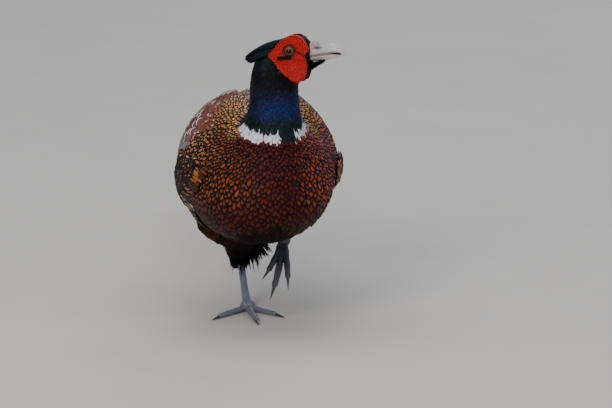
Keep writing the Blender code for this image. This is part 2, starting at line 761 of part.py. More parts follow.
def tube(name, path, radii, sides, finish=None, end_point=None):
    """A tube of round sections along a path of points, without a twist."""
    rings = []
    side = None
    for index, (centre, radius) in enumerate(zip(path, radii)):
        before = path[max(index - 1, 0)]
        after = path[min(index + 1, len(path) - 1)]
        axis = (after - before).normalized()
        side = axis.orthogonal() if side is None else side - axis * side.dot(axis)
        side.normalize()
        other = axis.cross(side)
        rings.append([centre + (side * math.cos(angle) + other * math.sin(angle)) * radius
                      for angle in (2 * math.pi * step / sides for step in range(sides))])
    return loft(name, rings, finish, None, end_point)


def make_thigh(side, neighbours, finish):
    """The feathered drumstick, from inside the flank down over the heel joint."""
    path = [centre for centre, radius in THIGH_PATH[side]]
    radii = [radius for centre, radius in THIGH_PATH[side]]
    piece = tube("thigh_" + side, path, radii, 14, finish)
    clear_of(piece, neighbours)
    return piece


def make_shank(side, torso, thigh, finish):
    """The bare tarsus with its row of plates in front, and the pad under the toes."""
    leg = LEGS[side]
    heel = leg["heel"]
    foot = leg["foot"]
    plates = 9
    axis = (foot - heel).normalized()
    front = Vector((0, -1, 0)) - axis * Vector((0, -1, 0)).dot(axis)
    front = -front.normalized() if side == "left" and front.z > 0.0 else front.normalized()
    out = axis.cross(front).normalized()
    stop = 0.90
    rings = []
    for plate in range(plates):
        for inside, rise in ((0.0, 0.0008), (0.96, 0.0001)):
            share = (plate + inside) / plates * stop
            centre = heel.lerp(foot, share)
            half = 0.0046 - 0.0011 * math.sin(math.pi * min(share * 1.1, 1.0))
            deep = half * 1.15
            ring = []
            for step in range(10):
                angle = 2 * math.pi * step / 10
                extra = rise if math.cos(angle) > 0.2 else 0.0
                ring.append(centre + front * (deep + extra) * math.cos(angle) + out * (half + extra * 0.5) * math.sin(angle))
            rings.append(ring)
    piece = loft("shank_" + side, rings, finish)
    if side == "right":
        pad = sole_pad("pad", foot)
    else:
        pad = ball("pad", foot + Vector((0.0, 0.0, 0.0005)), 0.0068, 8, 12)
    combine(piece, [pad], "UNION")
    clear_of(piece, [thigh, torso])
    return piece


def sole_pad(name, foot):
    """The low pad that the four toes of the standing foot spread from, flat underneath."""
    rings = []
    for radius, height in ((0.0070, 0.0), (0.0085, 0.0022), (0.0080, 0.0060), (0.0050, 0.0095)):
        rings.append([foot + Vector((radius * math.cos(angle), radius * math.sin(angle), height))
                      for angle in (2 * math.pi * step / 14 for step in range(14))])
    return loft(name, rings, None, None, foot + Vector((0, 0, 0.0105)))


# Toes: direction out from straight ahead in degrees, length of the toe and of its claw, half width
TOES = {
    "inner": (38.0, 0.0350, 0.0110, 0.0033),
    "middle": (-1.0, 0.0500, 0.0130, 0.0036),
    "outer": (-50.0, 0.0420, 0.0115, 0.0033),
    "hind": (168.0, 0.0150, 0.0080, 0.0026),
}
TOE_SECTION = [(-0.60, -1.0), (0.60, -1.0), (1.0, -0.45), (0.92, 0.45), (0.40, 1.0), (-0.40, 1.0), (-0.92, 0.45),
               (-1.0, -0.45)]


def toe_rings(path, tops, halves, heights):
    """Rings along a toe. Each has a flat sole, and its upper part carries the plates' steps."""
    rings = []
    for index, centre in enumerate(path):
        before = path[max(index - 1, 0)]
        after = path[min(index + 1, len(path) - 1)]
        axis = (after - before).normalized()
        top = (tops[index] - axis * tops[index].dot(axis)).normalized()
        side = axis.cross(top)
        rings.append([centre + side * s * halves[index] + top * t * heights[index] for s, t in TOE_SECTION])
    return rings


def make_toe(name, path_at, top_at, length, half, finish):
    """A toe with overlapping plates on its upper side, along any path."""
    plates = max(3, round(length / 0.0085))
    path = []
    tops = []
    halves = []
    heights = []
    for plate in range(plates):
        for inside, rise in ((0.0, 0.0006), (0.95, 0.0)):
            share = (plate + inside) / plates
            taper = 1.0 - 0.26 * share
            swell = 1.0 + 0.07 * math.cos(2 * math.pi * share * 3)
            tall = half * 0.92 * taper * swell + rise / 2
            path.append(path_at(share * length, tall))
            tops.append(top_at(share * length))
            halves.append(half * taper * swell + rise / 2)
            heights.append(tall)
    return loft(name, toe_rings(path, tops, halves, heights), finish)


def make_claw(name, path_at, top_at, start, length, half, finish):
    """A curved claw that tapers to its point."""
    path = []
    tops = []
    halves = []
    heights = []
    for share in (-0.25, 0.3, 0.7, 0.97):
        size = max(0.12, (1.0 - max(share, 0.0)) ** 0.8)
        tall = half * 0.62 * size
        path.append(path_at(start + share * length, tall))
        tops.append(top_at(start + share * length))
        halves.append(half * 0.50 * size)
        heights.append(tall)
    return loft(name, toe_rings(path, tops, halves, heights), finish)


def make_standing_toes(shank, skin, horn):
    pieces = []
    before = [shank]
    for toe in ("middle", "inner", "outer", "hind"):
        turn, length, claw_length, half = TOES[toe]
        angle = math.radians(turn)
        ahead = Vector((math.sin(angle), -math.cos(angle), 0.0))
        root = STANDING_FOOT + ahead * 0.004

        def path_at(along, tall, root=root, ahead=ahead):
            return root + ahead * along + Vector((0, 0, tall))

        def top_at(along):
            return Vector((0, 0, 1))

        piece = make_toe("toe_right_" + toe, path_at, top_at, length, half, skin)
        clear_of(piece, before)
        claw = make_claw("claw_right_" + toe, path_at, top_at, length, claw_length, half, horn)
        clear_of(claw, [piece])
        before.append(piece)
        pieces += [piece, claw]
    return pieces


# The lifted toes hang slack and are this much thicker than the standing ones
SLACK_SHARE = 1.14
# Lifted foot: for each toe its end and its claw's point, and how far it bows forward on the way
LIFTED_TOES = {
    "middle": (Vector((0.0057, -0.0150, 0.0298)), 0.0045),
    "inner": (Vector((-0.0020, -0.0050, 0.0423)), 0.0030),
    "outer": (Vector((0.0220, -0.0180, 0.0380)), 0.0040),
    "hind": (Vector((0.0190, 0.0300, 0.0640)), 0.0010),
}


def make_lifted_toes(shank, skin, horn):
    """The lifted foot's toes hang from the foot's root, with their soles turned back."""
    pieces = []
    before = [shank]
    foot = LEGS["left"]["foot"]
    for toe in ("middle", "inner", "outer", "hind"):
        length, claw_length, half = TOES[toe][1:]
        half *= SLACK_SHARE
        end, bow = LIFTED_TOES[toe]
        down = (end - foot).normalized()
        facing = Vector((0, -1, 0)) if toe != "hind" else Vector((0, 1, 0.4))
        front = (facing - down * facing.dot(down)).normalized()
        whole = length + claw_length

        def path_at(along, tall, down=down, front=front, whole=whole, bow=bow):
            share = along / whole
            return foot + down * (0.002 + along) + front * (bow * math.sin(math.pi * min(share, 1.0)))

        def top_at(along, front=front):
            return front

        piece = make_toe("toe_left_" + toe, path_at, top_at, length, half, skin)
        clear_of(piece, before)
        claw = make_claw("claw_left_" + toe, path_at, top_at, length, claw_length, half, horn)
        clear_of(claw, [piece])
        before.append(piece)
        pieces += [piece, claw]
    return pieces


def make_spur(side, neighbours, finish):
    """The cock's spur, low on the inner back of the tarsus."""
    leg = LEGS[side]
    centre = leg["heel"].lerp(leg["foot"], 0.70)
    inward = 1.0 if side == "right" else -1.0
    axis = (leg["foot"] - leg["heel"]).normalized()
    back = Vector((0.35 * inward, 1.0, 0.15))
    back = (back - axis * back.dot(axis)).normalized()
    rings = []
    for out, radius in ((0.0010, 0.0024), (0.0050, 0.0021), (0.0085, 0.0013)):
        middle = centre + back * out - axis * out * 0.25
        rings.append([middle + (axis * math.cos(angle) + back.cross(axis) * math.sin(angle)) * radius
                      for angle in (2 * math.pi * step / 10 for step in range(10))])
    piece = loft("spur_" + side, rings, finish, None, centre + back * 0.0120 - axis * 0.0040)
    clear_of(piece, neighbours)
    return piece


def main():
    for old in list(bpy.data.objects):
        bpy.data.objects.remove(old)
    plumage = material("copper plumage", (0.30, 0.10, 0.04), 0.6)
    neck_plumage = material("glossy neck plumage", (0.01, 0.03, 0.08), 0.35)
    wing_plumage = material("wing plumage", (0.28, 0.20, 0.14), 0.65)
    tail_plumage = material("tail plumage", (0.33, 0.22, 0.12), 0.6)
    thigh_plumage = material("dark leg plumage", (0.03, 0.02, 0.015), 0.8)
    red_skin = material("bare red skin", (0.45, 0.02, 0.01), 0.55)
    eye_finish = material("eye", (0.35, 0.10, 0.02), 0.1)
    horn = material("pale horn", (0.55, 0.52, 0.45), 0.4)
    claw_horn = material("dark horn", (0.06, 0.055, 0.05), 0.4)
    leg_skin = material("scaled leg skin", (0.22, 0.22, 0.26), 0.5)

    body = make_body({"torso": plumage, "neck": neck_plumage, "head": neck_plumage})
    torso = body["torso"]
    neck = body["neck"]
    head = body["head"]
    pieces = list(body.values())
    pieces += make_eyes(head, eye_finish)
    pieces += make_bill(head, horn)
    wattles = make_wattles(head, neck, red_skin)
    pieces += wattles
    pieces += make_tufts([head, neck] + wattles, neck_plumage)
    wings = make_wings(torso, wing_plumage)
    pieces += wings
    pieces.append(make_tail(torso, tail_plumage))
    for side in ("right", "left"):
        thigh = make_thigh(side, [torso] + wings, thigh_plumage)
        shank = make_shank(side, torso, thigh, leg_skin)
        make_toes = make_standing_toes if side == "right" else make_lifted_toes
        pieces += [thigh, shank, make_spur(side, [shank, thigh, torso], horn)]
        pieces += make_toes(shank, leg_skin, claw_horn)

    stance = bpy.data.objects.new("pheasant", None)
    stance.location = -STANDING_FOOT
    bpy.context.scene.collection.objects.link(stance)
    for piece in pieces:
        piece.parent = stance
        piece.data.shade_smooth()
        piece.data.set_sharp_from_angle(angle=math.radians(50))


main()
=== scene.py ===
# %% [markdown]
# # A cock common pheasant, life size
# The bird stands on its right foot and lifts the left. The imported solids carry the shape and
# the weight, and this scene dresses them: one skin over the flesh, thousands of small vanes
# that lie from bill to tail, and bare parts of skin, horn and scale. Loading the solids first
# means that every later piece can be placed by their measures, with no fitting.

# %% Load the solids
import math

import bpy
import numpy as np
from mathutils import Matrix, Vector
from mathutils.bvhtree import BVHTree
from mathutils.kdtree import KDTree


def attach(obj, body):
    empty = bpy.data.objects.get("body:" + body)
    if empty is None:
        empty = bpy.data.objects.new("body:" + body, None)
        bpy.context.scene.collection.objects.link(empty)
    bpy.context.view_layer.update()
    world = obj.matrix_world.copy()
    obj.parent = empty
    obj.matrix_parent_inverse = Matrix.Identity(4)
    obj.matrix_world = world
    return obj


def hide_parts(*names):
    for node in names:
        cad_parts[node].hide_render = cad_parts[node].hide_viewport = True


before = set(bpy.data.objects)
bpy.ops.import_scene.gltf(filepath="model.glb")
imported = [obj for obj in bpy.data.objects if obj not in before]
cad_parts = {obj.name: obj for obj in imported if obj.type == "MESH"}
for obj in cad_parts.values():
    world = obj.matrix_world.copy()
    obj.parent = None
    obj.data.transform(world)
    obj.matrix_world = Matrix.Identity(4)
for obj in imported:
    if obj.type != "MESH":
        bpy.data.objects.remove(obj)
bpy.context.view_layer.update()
print("solids loaded:", len(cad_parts))

# %% [markdown]
# ## Measures that the bird is set out by
# The solids were drawn about the trunk's middle and then moved, so that the standing sole is at
# the origin. The same move is kept here as one vector. A point on the trunk is read by its
# place along the body and its angle round it, and a point on the head by how far it lies
# forward, to the side and up. Working in these two ways beats typing world coordinates: a
# feather tract can be given in a maker's words, such as from the shoulder to the rump.

# %% Set out the trunk and the head
FULL_TURN = 2 * math.pi
STANCE = Vector((0.0075, -0.045, 0.0))
MOVED = np.array(STANCE)
# y, back height, belly height, widest level, half width
TRUNK = np.array([
    (-0.1160, 0.1560, 0.1470, 0.151, 0.0050), (-0.1125, 0.1750, 0.1290, 0.152, 0.0250),
    (-0.1010, 0.1960, 0.1120, 0.153, 0.0460), (-0.0760, 0.2140, 0.0970, 0.155, 0.0640),
    (-0.0350, 0.2290, 0.0880, 0.158, 0.0720), (0.0100, 0.2345, 0.0850, 0.160, 0.0720),
    (0.0550, 0.2280, 0.0900, 0.162, 0.0680), (0.0950, 0.2130, 0.1030, 0.164, 0.0575),
    (0.1300, 0.1980, 0.1240, 0.167, 0.0440), (0.1550, 0.1905, 0.1440, 0.169, 0.0320),
    (0.1720, 0.1850, 0.1580, 0.170, 0.0220),
])
HEAD_PLACE = Vector((0.0238, -0.0713, 0.2830)) + STANCE
HEAD_TURN = math.radians(71.0)
HEAD_ROLL = math.radians(9.0)
HEAD_AHEAD = Vector((math.sin(HEAD_TURN), -math.cos(HEAD_TURN), 0.0))
level_side = Vector((HEAD_AHEAD.y, -HEAD_AHEAD.x, 0.0))
HEAD_SIDE = level_side * math.cos(HEAD_ROLL) + Vector((0, 0, 1)) * math.sin(HEAD_ROLL)
HEAD_UP = Vector((0, 0, 1)) * math.cos(HEAD_ROLL) - level_side * math.sin(HEAD_ROLL)
HEAD_POINT, AHEAD, ASIDE, UPWARD = [np.array(value) for value in (HEAD_PLACE, HEAD_AHEAD, HEAD_SIDE, HEAD_UP)]
HEAD_SIDES = (("right", 1), ("left", -1))


def smooth_rows(rows, steps=12):
    """Rows of measures with a smooth curve laid through them."""
    ends = np.vstack([2 * rows[0] - rows[1], rows, 2 * rows[-1] - rows[-2]])
    out = []
    for index in range(1, len(ends) - 2):
        before, start, stop, after = ends[index - 1:index + 3]
        for t in np.arange(steps) / steps:
            bend = 2 * before - 5 * start + 4 * stop - after
            twist = 3 * start - before - 3 * stop + after
            out.append(0.5 * (2 * start + (stop - before) * t + bend * t ** 2 + twist * t ** 3))
    return np.array(out + [rows[-1]])


TRUNK_ROWS = smooth_rows(TRUNK)


# How far aside the trunk's middle lies, and how much it leans to the left with height
TRUNK_ASIDE, TRUNK_LEAN, LEAN_LEVEL = 0.0048, 0.12, 0.160


def trunk_form(y):
    """Back and belly heights, the widest level and the half width, for places along the trunk."""
    return [np.interp(y, TRUNK_ROWS[:, 0], TRUNK_ROWS[:, column]) for column in range(1, 5)]


def on_trunk(y, angle, lift):
    """Points on the trunk for arrays of places along it, angles round it and heights above it."""
    top, bottom, level, half = trunk_form(y)
    c, s = np.cos(angle), np.sin(angle)
    power = np.where(s > 0, 2 / 1.86, 2 / 2.14)
    reach = np.where(s > 0, top - level, level - bottom) + lift
    x = (half + lift) * np.sign(c) * np.abs(c) ** power
    z = level + reach * np.sign(s) * np.abs(s) ** power
    return np.stack([x - TRUNK_ASIDE + TRUNK_LEAN * (z - LEAN_LEVEL), y + 0 * x, z], axis=-1) + MOVED


def on_head(ahead, side, up):
    """Points on the head for arrays of distances ahead, to the bird's right and up."""
    ahead, side, up = [np.asarray(value, float)[..., None] for value in (ahead, side, up)]
    return HEAD_POINT + ahead * AHEAD + side * ASIDE + up * UPWARD


TAIL_ROOT = np.array((-0.0030, 0.1735, 0.1715)) + MOVED
TAIL_YAW, TAIL_PITCH = math.radians(10.5), math.radians(-12.0)
TAIL_AXIS = np.array((math.sin(TAIL_YAW) * math.cos(TAIL_PITCH), math.cos(TAIL_YAW) * math.cos(TAIL_PITCH),
                      math.sin(TAIL_PITCH)))
TAIL_SIDE = np.array((math.cos(TAIL_YAW), -math.sin(TAIL_YAW), 0.0))
TAIL_UP = np.cross(TAIL_SIDE, TAIL_AXIS)


def on_tail(along, across, up):
    """Points of the tail for arrays of distances along its axis, to the bird's left and up."""
    along, across, up = [np.asarray(value, float)[..., None] for value in (along, across, up)]
    return TAIL_ROOT + along * TAIL_AXIS + across * TAIL_SIDE + up * TAIL_UP


def step(low, high, value):
    """A soft step from 0 to 1 between two values."""
    t = np.clip((value - low) / (high - low), 0.0, 1.0)
    return t * t * (3 - 2 * t)


def trunk_angle(places):
    """How far round the trunk points lie: 0 degrees at the widest level, 90 on the back."""
    x, y, z = (places - MOVED).T
    top, bottom, level, half = trunk_form(y)
    out = np.abs(x + TRUNK_ASIDE - TRUNK_LEAN * (z - LEAN_LEVEL)) / half
    rise = (z - level) / np.where(z > level, top - level, level - bottom)
    return np.degrees(np.arctan2(np.sign(rise) * np.abs(rise) ** 0.95, out ** 0.95))


print("trunk from", TRUNK[0, 0], "to", TRUNK[-1, 0], "m, head at", tuple(round(v, 4) for v in HEAD_PLACE))

# %% [markdown]
# ## Camera, light and floor
# The photograph was taken from far off with a long lens, a little above the bird and slightly
# to its right, so a camera nine metres away with a very long lens gives the same flat view. A
# big overhead light and a broad key from the front left copy the soft sky light. The floor is
# a plain pale sheet, so that nothing competes with the plumage.

# %% Place the camera
AZIMUTH = math.radians(-11.0)
ELEVATION = math.radians(13.0)
away = Vector((math.sin(AZIMUTH) * math.cos(ELEVATION), -math.cos(AZIMUTH) * math.cos(ELEVATION),
               math.sin(ELEVATION)))
right = Vector((math.cos(AZIMUTH), math.sin(AZIMUTH), 0.0))
above = away.cross(right)
centre = STANCE + right * 0.043 + above * 0.117
CAMERA_FAR = 9.0
# The picture is this wide at the breast, which is nearer than the point that the camera looks at
VIEW_WIDTH, BREAST_NEARER = 0.612, 0.06
SENSOR_WIDTH = 36.0
bpy.ops.object.camera_add(location=centre + away * CAMERA_FAR)
camera = bpy.context.object
camera.name = "camera"
camera.rotation_euler = (-away).to_track_quat("-Z", "Y").to_euler()
camera.data.sensor_width = SENSOR_WIDTH
camera.data.lens = SENSOR_WIDTH * (CAMERA_FAR - BREAST_NEARER) / VIEW_WIDTH
camera.data.clip_end = 100.0
bpy.context.scene.camera = camera
print("camera at", tuple(round(v, 2) for v in camera.location), "lens", round(camera.data.lens), "mm")


# %% Lay the floor and hang the lights
def colour(code):
    """An sRGB hex colour as linear numbers."""
    values = [int(code[i:i + 2], 16) / 255 for i in (1, 3, 5)]
    return [v / 12.92 if v <= 0.04045 else ((v + 0.055) / 1.055) ** 2.4 for v in values]


def feed(tree, target, **inputs):
    """Sets a node's inputs, or links them. i0 is the first one, and Base_Color goes by name."""
    for key, value in inputs.items():
        socket = target.inputs[int(key[1:]) if key[1:].isdigit() else key.replace("_", " ")]
        if isinstance(value, bpy.types.NodeSocket):
            tree.links.new(value, socket)
        else:
            socket.default_value = (*colour(value), 1) if isinstance(value, str) else value


def node(tree, kind, settings=None, **inputs):
    """Adds a node with its own settings and its inputs."""
    made = tree.nodes.new("ShaderNode" + kind)
    for key, value in (settings or {}).items():
        setattr(made, key, value)
    feed(tree, made, **inputs)
    return made


def finish(name, **values):
    """A new material with its main shader's plain values set."""
    made = bpy.data.materials.new(name)
    made.use_nodes = True
    shader = made.node_tree.nodes["Principled BSDF"]
    feed(made.node_tree, shader, **values)
    return made, made.node_tree, shader


# The settings of a Mix node that mixes colours
RGBA = {"data_type": "RGBA"}


def mottled(name, dark, pale, scale, detail=2.0, **values):
    """A plain material whose colour drifts between two tints, in patches of the given scale."""
    made, tree, shader = finish(name, **values)
    place = node(tree, "TexCoord").outputs["Object"]
    patches = node(tree, "TexNoise", Vector=place, Scale=scale, Detail=detail)
    tone = node(tree, "Mix", RGBA, i0=patches.outputs["Fac"], i6=dark, i7=pale)
    feed(tree, shader, Base_Color=tone.outputs[2])
    return made


bpy.ops.mesh.primitive_plane_add(size=6.0)
floor = bpy.context.object
floor.name = "floor"
# Uncoated paper: no gloss, and a faint mottle that only just shows
paper, tree, shader = finish("matt paper backdrop", Roughness=0.9)
grain = node(tree, "TexNoise", Scale=60.0, Detail=3.0)
tone = node(tree, "Mix", RGBA, i0=grain.outputs["Fac"], i6="#cbc8c1", i7="#d3d0c9")
feed(tree, shader, Base_Color=tone.outputs[2])
floor.data.materials.append(paper)

# Each light: its name, place, size in metres, power in watts and tint
LIGHTS = [("sky", (-0.3, -0.2, 2.6), 2.6, 44.0, "#eef1fb"), ("key", (-1.5, -2.4, 1.9), 1.0, 44.0, "#fff6ea"),
          ("fill", (1.9, -1.8, 1.0), 1.6, 9.0, "#eef1ff"), ("rim", (1.2, 2.2, 1.5), 1.2, 14.0, "#f3f4ff")]
for name, place, size, power, tint in LIGHTS:
    bpy.ops.object.light_add(type="AREA", location=place)
    lamp = bpy.context.object
    lamp.name = name
    lamp.data.size = size
    lamp.data.energy = power
    lamp.data.color = colour(tint)
    lamp.rotation_euler = (Vector((0, 0, 0.15)) - Vector(place)).to_track_quat("-Z", "Y").to_euler()
world = bpy.context.scene.world or bpy.data.worlds.new("studio")
bpy.context.scene.world = world
world.use_nodes = True
world.node_tree.nodes["Background"].inputs[0].default_value = (*colour("#dfe3ea"), 1)
world.node_tree.nodes["Background"].inputs[1].default_value = 0.34
print("lights:", len(LIGHTS))

# %% [markdown]
# ## The skin
# Under its feathers a bird has one unbroken skin. The solids part it into torso, neck, head and
# thighs, so copies of them are joined, and a voxel remesh melts the thin cuts between them into
# one closed surface. It is then drawn in by the depth of the coat, which is deepest on the
# trunk and hardly anything on the face. Everything that grows on the bird is set on this.


# %% Melt the solids into one skin
SKIN_NODES = ("torso", "neck", "head", "thigh_right", "thigh_left")


def select_only(*pieces):
    """Selects these pieces alone, with the first one active."""
    bpy.ops.object.select_all(action="DESELECT")
    for piece in pieces:
        piece.select_set(True)
    bpy.context.view_layer.objects.active = pieces[0]


def copy_of(names, *extra):
    """One mesh object of merged copies of CAD nodes, with other closed shapes joined in."""
    twins = []
    for name in names:
        twins.append(bpy.data.objects.new("copy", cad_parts[name].data.copy()))
        bpy.context.collection.objects.link(twins[-1])
    select_only(*twins[::-1], *extra)
    bpy.ops.object.join()
    bpy.ops.object.mode_set(mode="EDIT")
    bpy.ops.mesh.select_all(action="SELECT")
    bpy.ops.mesh.remove_doubles(threshold=0.00002)
    bpy.ops.object.mode_set(mode="OBJECT")
    return bpy.context.object


def apply_modifier(piece, kind, **settings):
    select_only(piece)
    change = piece.modifiers.new(kind.lower(), kind)
    for key, value in settings.items():
        setattr(change, key, value)
    bpy.ops.object.modifier_apply(modifier=change.name)


def points_of(piece):
    values = np.empty(len(piece.data.vertices) * 3)
    piece.data.vertices.foreach_get("co", values)
    return values.reshape(-1, 3)


def normals_of(piece):
    values = np.empty(len(piece.data.vertices) * 3, np.float32)
    piece.data.vertex_normals.foreach_get("vector", values)
    return values.reshape(-1, 3).astype(float)


def move_points(piece, values):
    piece.data.vertices.foreach_set("co", np.ascontiguousarray(values, dtype=np.float32).ravel())
    piece.data.update()


print("solids that the skin melts together:", [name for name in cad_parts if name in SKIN_NODES])

# %% Set how deep the coat lies
TRUNK_COAT, HEAD_COAT = 0.0030, 0.0011


def head_share(places):
    """How far up the neck and head points lie: 0 on the trunk, 1 on the head."""
    return step(0.215, 0.262, places[:, 2])


def coat_depth(places):
    """The depth of the feathers over the skin, in metres."""
    up = head_share(places)
    return TRUNK_COAT * (1 - up) + HEAD_COAT * up


print("coat on the trunk:", TRUNK_COAT, "m, on the head:", HEAD_COAT, "m")

# %% Draw the skin in under the coat
# Along the trunk: the folded wing's front part, its lower and its upper edge in degrees
WING_FRONT = [-0.054, -0.044, -0.020, 0.010, 0.060]
WING_LOW = [12.0, -4.0, -16.0, -21.0, -20.0]
WING_HIGH = [28.0, 46.0, 60.0, 66.0, 66.0]
PAD_THICKNESS = 0.0046
SKIN_VOXEL = 0.0022


def shoulder_pad(places):
    """How far the folded wing's arm lifts the skin: a low, soft swelling on each side."""
    y = places[:, 1] - STANCE.y
    angle = trunk_angle(places)
    low, high = np.interp(y, WING_FRONT, WING_LOW), np.interp(y, WING_FRONT, WING_HIGH)
    along = step(-0.066, -0.024, y) * (1 - step(0.014, 0.050, y))
    return PAD_THICKNESS * along * step(-16.0, 6.0, angle - low) * step(16.0, -6.0, angle - high)


bpy.ops.mesh.primitive_uv_sphere_add(segments=24, ring_count=16, radius=1.0)
stump = bpy.context.object
stump.scale = (0.0155, 0.050, 0.0105)
stump.rotation_euler = (TAIL_PITCH, 0.0, -TAIL_YAW)
stump.location = on_tail(0.012, 0.0, -0.002)
bpy.ops.object.transform_apply(location=True, rotation=True, scale=True)
skin = copy_of(SKIN_NODES, stump)
skin.name = "skin"
apply_modifier(skin, "REMESH", mode="VOXEL", voxel_size=SKIN_VOXEL)
apply_modifier(skin, "SMOOTH", factor=0.5, iterations=6)
places = points_of(skin)
move_points(skin, places + normals_of(skin) * (shoulder_pad(places) - coat_depth(places))[:, None])
for polygon in skin.data.polygons:
    polygon.use_smooth = True
print("skin faces:", len(skin.data.polygons))

# %% [markdown]
# ## Setting feathers on the skin
# A pheasant wears several thousand body feathers, each a thin cupped vane that overlaps the
# ones behind it like a roof tile. Modelling one and copying it by hand would never follow the
# body, so every tract is one joined mesh, worked out as arrays: roots are scattered on the
# skin at an even spacing, each vane is laid along the lie of the coat, and its points are
# pressed to the skin's curve and raised a little towards the tip. A root further forward ends
# higher up, so the overlap comes right by itself.

# %% Read the skin's surface
skin.data.calc_loop_triangles()
skin_points = points_of(skin)
skin_normals = normals_of(skin)
triangles = np.empty(len(skin.data.loop_triangles) * 3, np.int32)
skin.data.loop_triangles.foreach_get("vertices", triangles)
triangles = triangles.reshape(-1, 3)
skin_tree = BVHTree.FromPolygons([tuple(p) for p in skin_points], [tuple(t) for t in triangles])
rng = np.random.default_rng(7)


def press_to_skin(places):
    """The nearest points of the skin and its smooth normals there."""
    found = np.empty_like(places)
    ways = np.empty_like(places)
    for index, place in enumerate(places):
        hit, flat, face, distance = skin_tree.find_nearest(place)
        found[index] = hit
        corners = triangles[face]
        weight = 1.0 / (np.linalg.norm(skin_points[corners] - np.array(hit), axis=1) + 1e-5)
        ways[index] = (skin_normals[corners] * weight[:, None]).sum(0)
    return found, ways / np.linalg.norm(ways, axis=1)[:, None]


def scatter(wanted, spacing, tries=90000):
    """Evenly spaced roots on the skin. wanted says where, and spacing how far apart, in metres."""
    a, b, c = [skin_points[triangles[:, corner]] for corner in range(3)]
    areas = np.linalg.norm(np.cross(b - a, c - a), axis=1)
    keep = wanted((a + b + c) / 3)
    areas = np.where(keep, areas, 0.0)
    picked = rng.choice(len(areas), tries, p=areas / areas.sum())
    r1, r2 = np.sqrt(rng.random(tries))[:, None], rng.random(tries)[:, None]
    places = a[picked] * (1 - r1) + b[picked] * r1 * (1 - r2) + c[picked] * r1 * r2
    places = places[wanted(places)]
    apart = spacing(places)
    finder = KDTree(len(places))
    for index, place in enumerate(places):
        finder.insert(place, index)
    finder.balance()
    gone = np.zeros(len(places), bool)
    chosen = []
    for index in range(len(places)):
        if not gone[index]:
            chosen.append(index)
            for place, other, distance in finder.find_range(places[index], apart[index]):
                gone[other] = True
    return places[chosen]


print("skin triangles to stand on:", len(triangles))

# %% Shape one vane and lay thousands
def vane_grid(across, along):
    """Places across and along one vane: u from -1 to 1, v from root to tip."""
    u, v = np.meshgrid(np.linspace(-1, 1, across + 1), np.linspace(0, 1, along + 1) ** 0.85)
    return u.ravel(), v.ravel()


def grid_faces(across, along, count, turned=False):
    """Quads of many equal grids in one mesh. turned winds them the other way, so that they face out."""
    row = np.arange(along)[:, None] * (across + 1) + np.arange(across)
    quads = np.stack([row, row + across + 1, row + across + 2, row + 1], -1).reshape(-1, 4)
    if turned:
        quads = quads[:, ::-1]
    whole = np.arange(count)[:, None, None] * ((across + 1) * (along + 1)) + quads
    return whole.reshape(-1, 4)


def store_colour(mesh, name, values):
    """Keeps three numbers for each point of a mesh, for its material to read."""
    layer = mesh.attributes.new(name, "FLOAT_COLOR", "POINT")
    full = np.concatenate([values, np.ones((len(values), 1))], 1)
    layer.data.foreach_set("color", full.astype(np.float32).ravel())


def feather_mesh(name, points, across, along, unwrap, ground, edge, marks, turned=False):
    """Joins vanes to one object, with their own UV map, their colours and the bake's map.

    points is vanes x grid x 3. unwrap gives each root's place on the skin's unwrap. turned winds
    the faces the other way, where the vane was laid mirrored.
    """
    count = len(points)
    faces = grid_faces(across, along, count, turned)
    mesh = bpy.data.meshes.new(name)
    mesh.vertices.add(points.shape[0] * points.shape[1])
    mesh.vertices.foreach_set("co", np.ascontiguousarray(points, dtype=np.float32).ravel())
    mesh.loops.add(faces.size)
    mesh.loops.foreach_set("vertex_index", faces.ravel().astype(np.int32))
    mesh.polygons.add(len(faces))
    mesh.polygons.foreach_set("loop_start", np.arange(len(faces), dtype=np.int32) * 4)
    mesh.update(calc_edges=True)
    u, v = vane_grid(across, along)
    own = np.tile(np.stack([(u + 1) / 2, v], -1), (count, 1))
    patch = unwrap[:, None, :] + 0.003 * (np.stack([(u + 1) / 2, v], -1)[None] - 0.5)
    patch = patch.reshape(-1, 2)
    for label, values in (("Vane", own), ("OFBake", patch)):
        layer = mesh.uv_layers.new(name=label)
        layer.data.foreach_set("uv", values[faces.ravel()].astype(np.float32).ravel())
    mesh.uv_layers["Vane"].active = True
    for label, values in (("ground", ground), ("edge", edge), ("marks", marks)):
        values = np.broadcast_to(colour(values) if isinstance(values, str) else values, (count, 3))
        store_colour(mesh, label, np.repeat(values, len(u), 0))
    mesh.polygons.foreach_set("use_smooth", np.ones(len(faces), bool))
    piece = bpy.data.objects.new(name, mesh)
    bpy.context.collection.objects.link(piece)
    return piece


def columns(count, *values):
    """Each value, one number or one for each vane, as a column of that many rows."""
    return [np.broadcast_to(np.reshape(value, (-1, 1)), (count, 1)) for value in values]


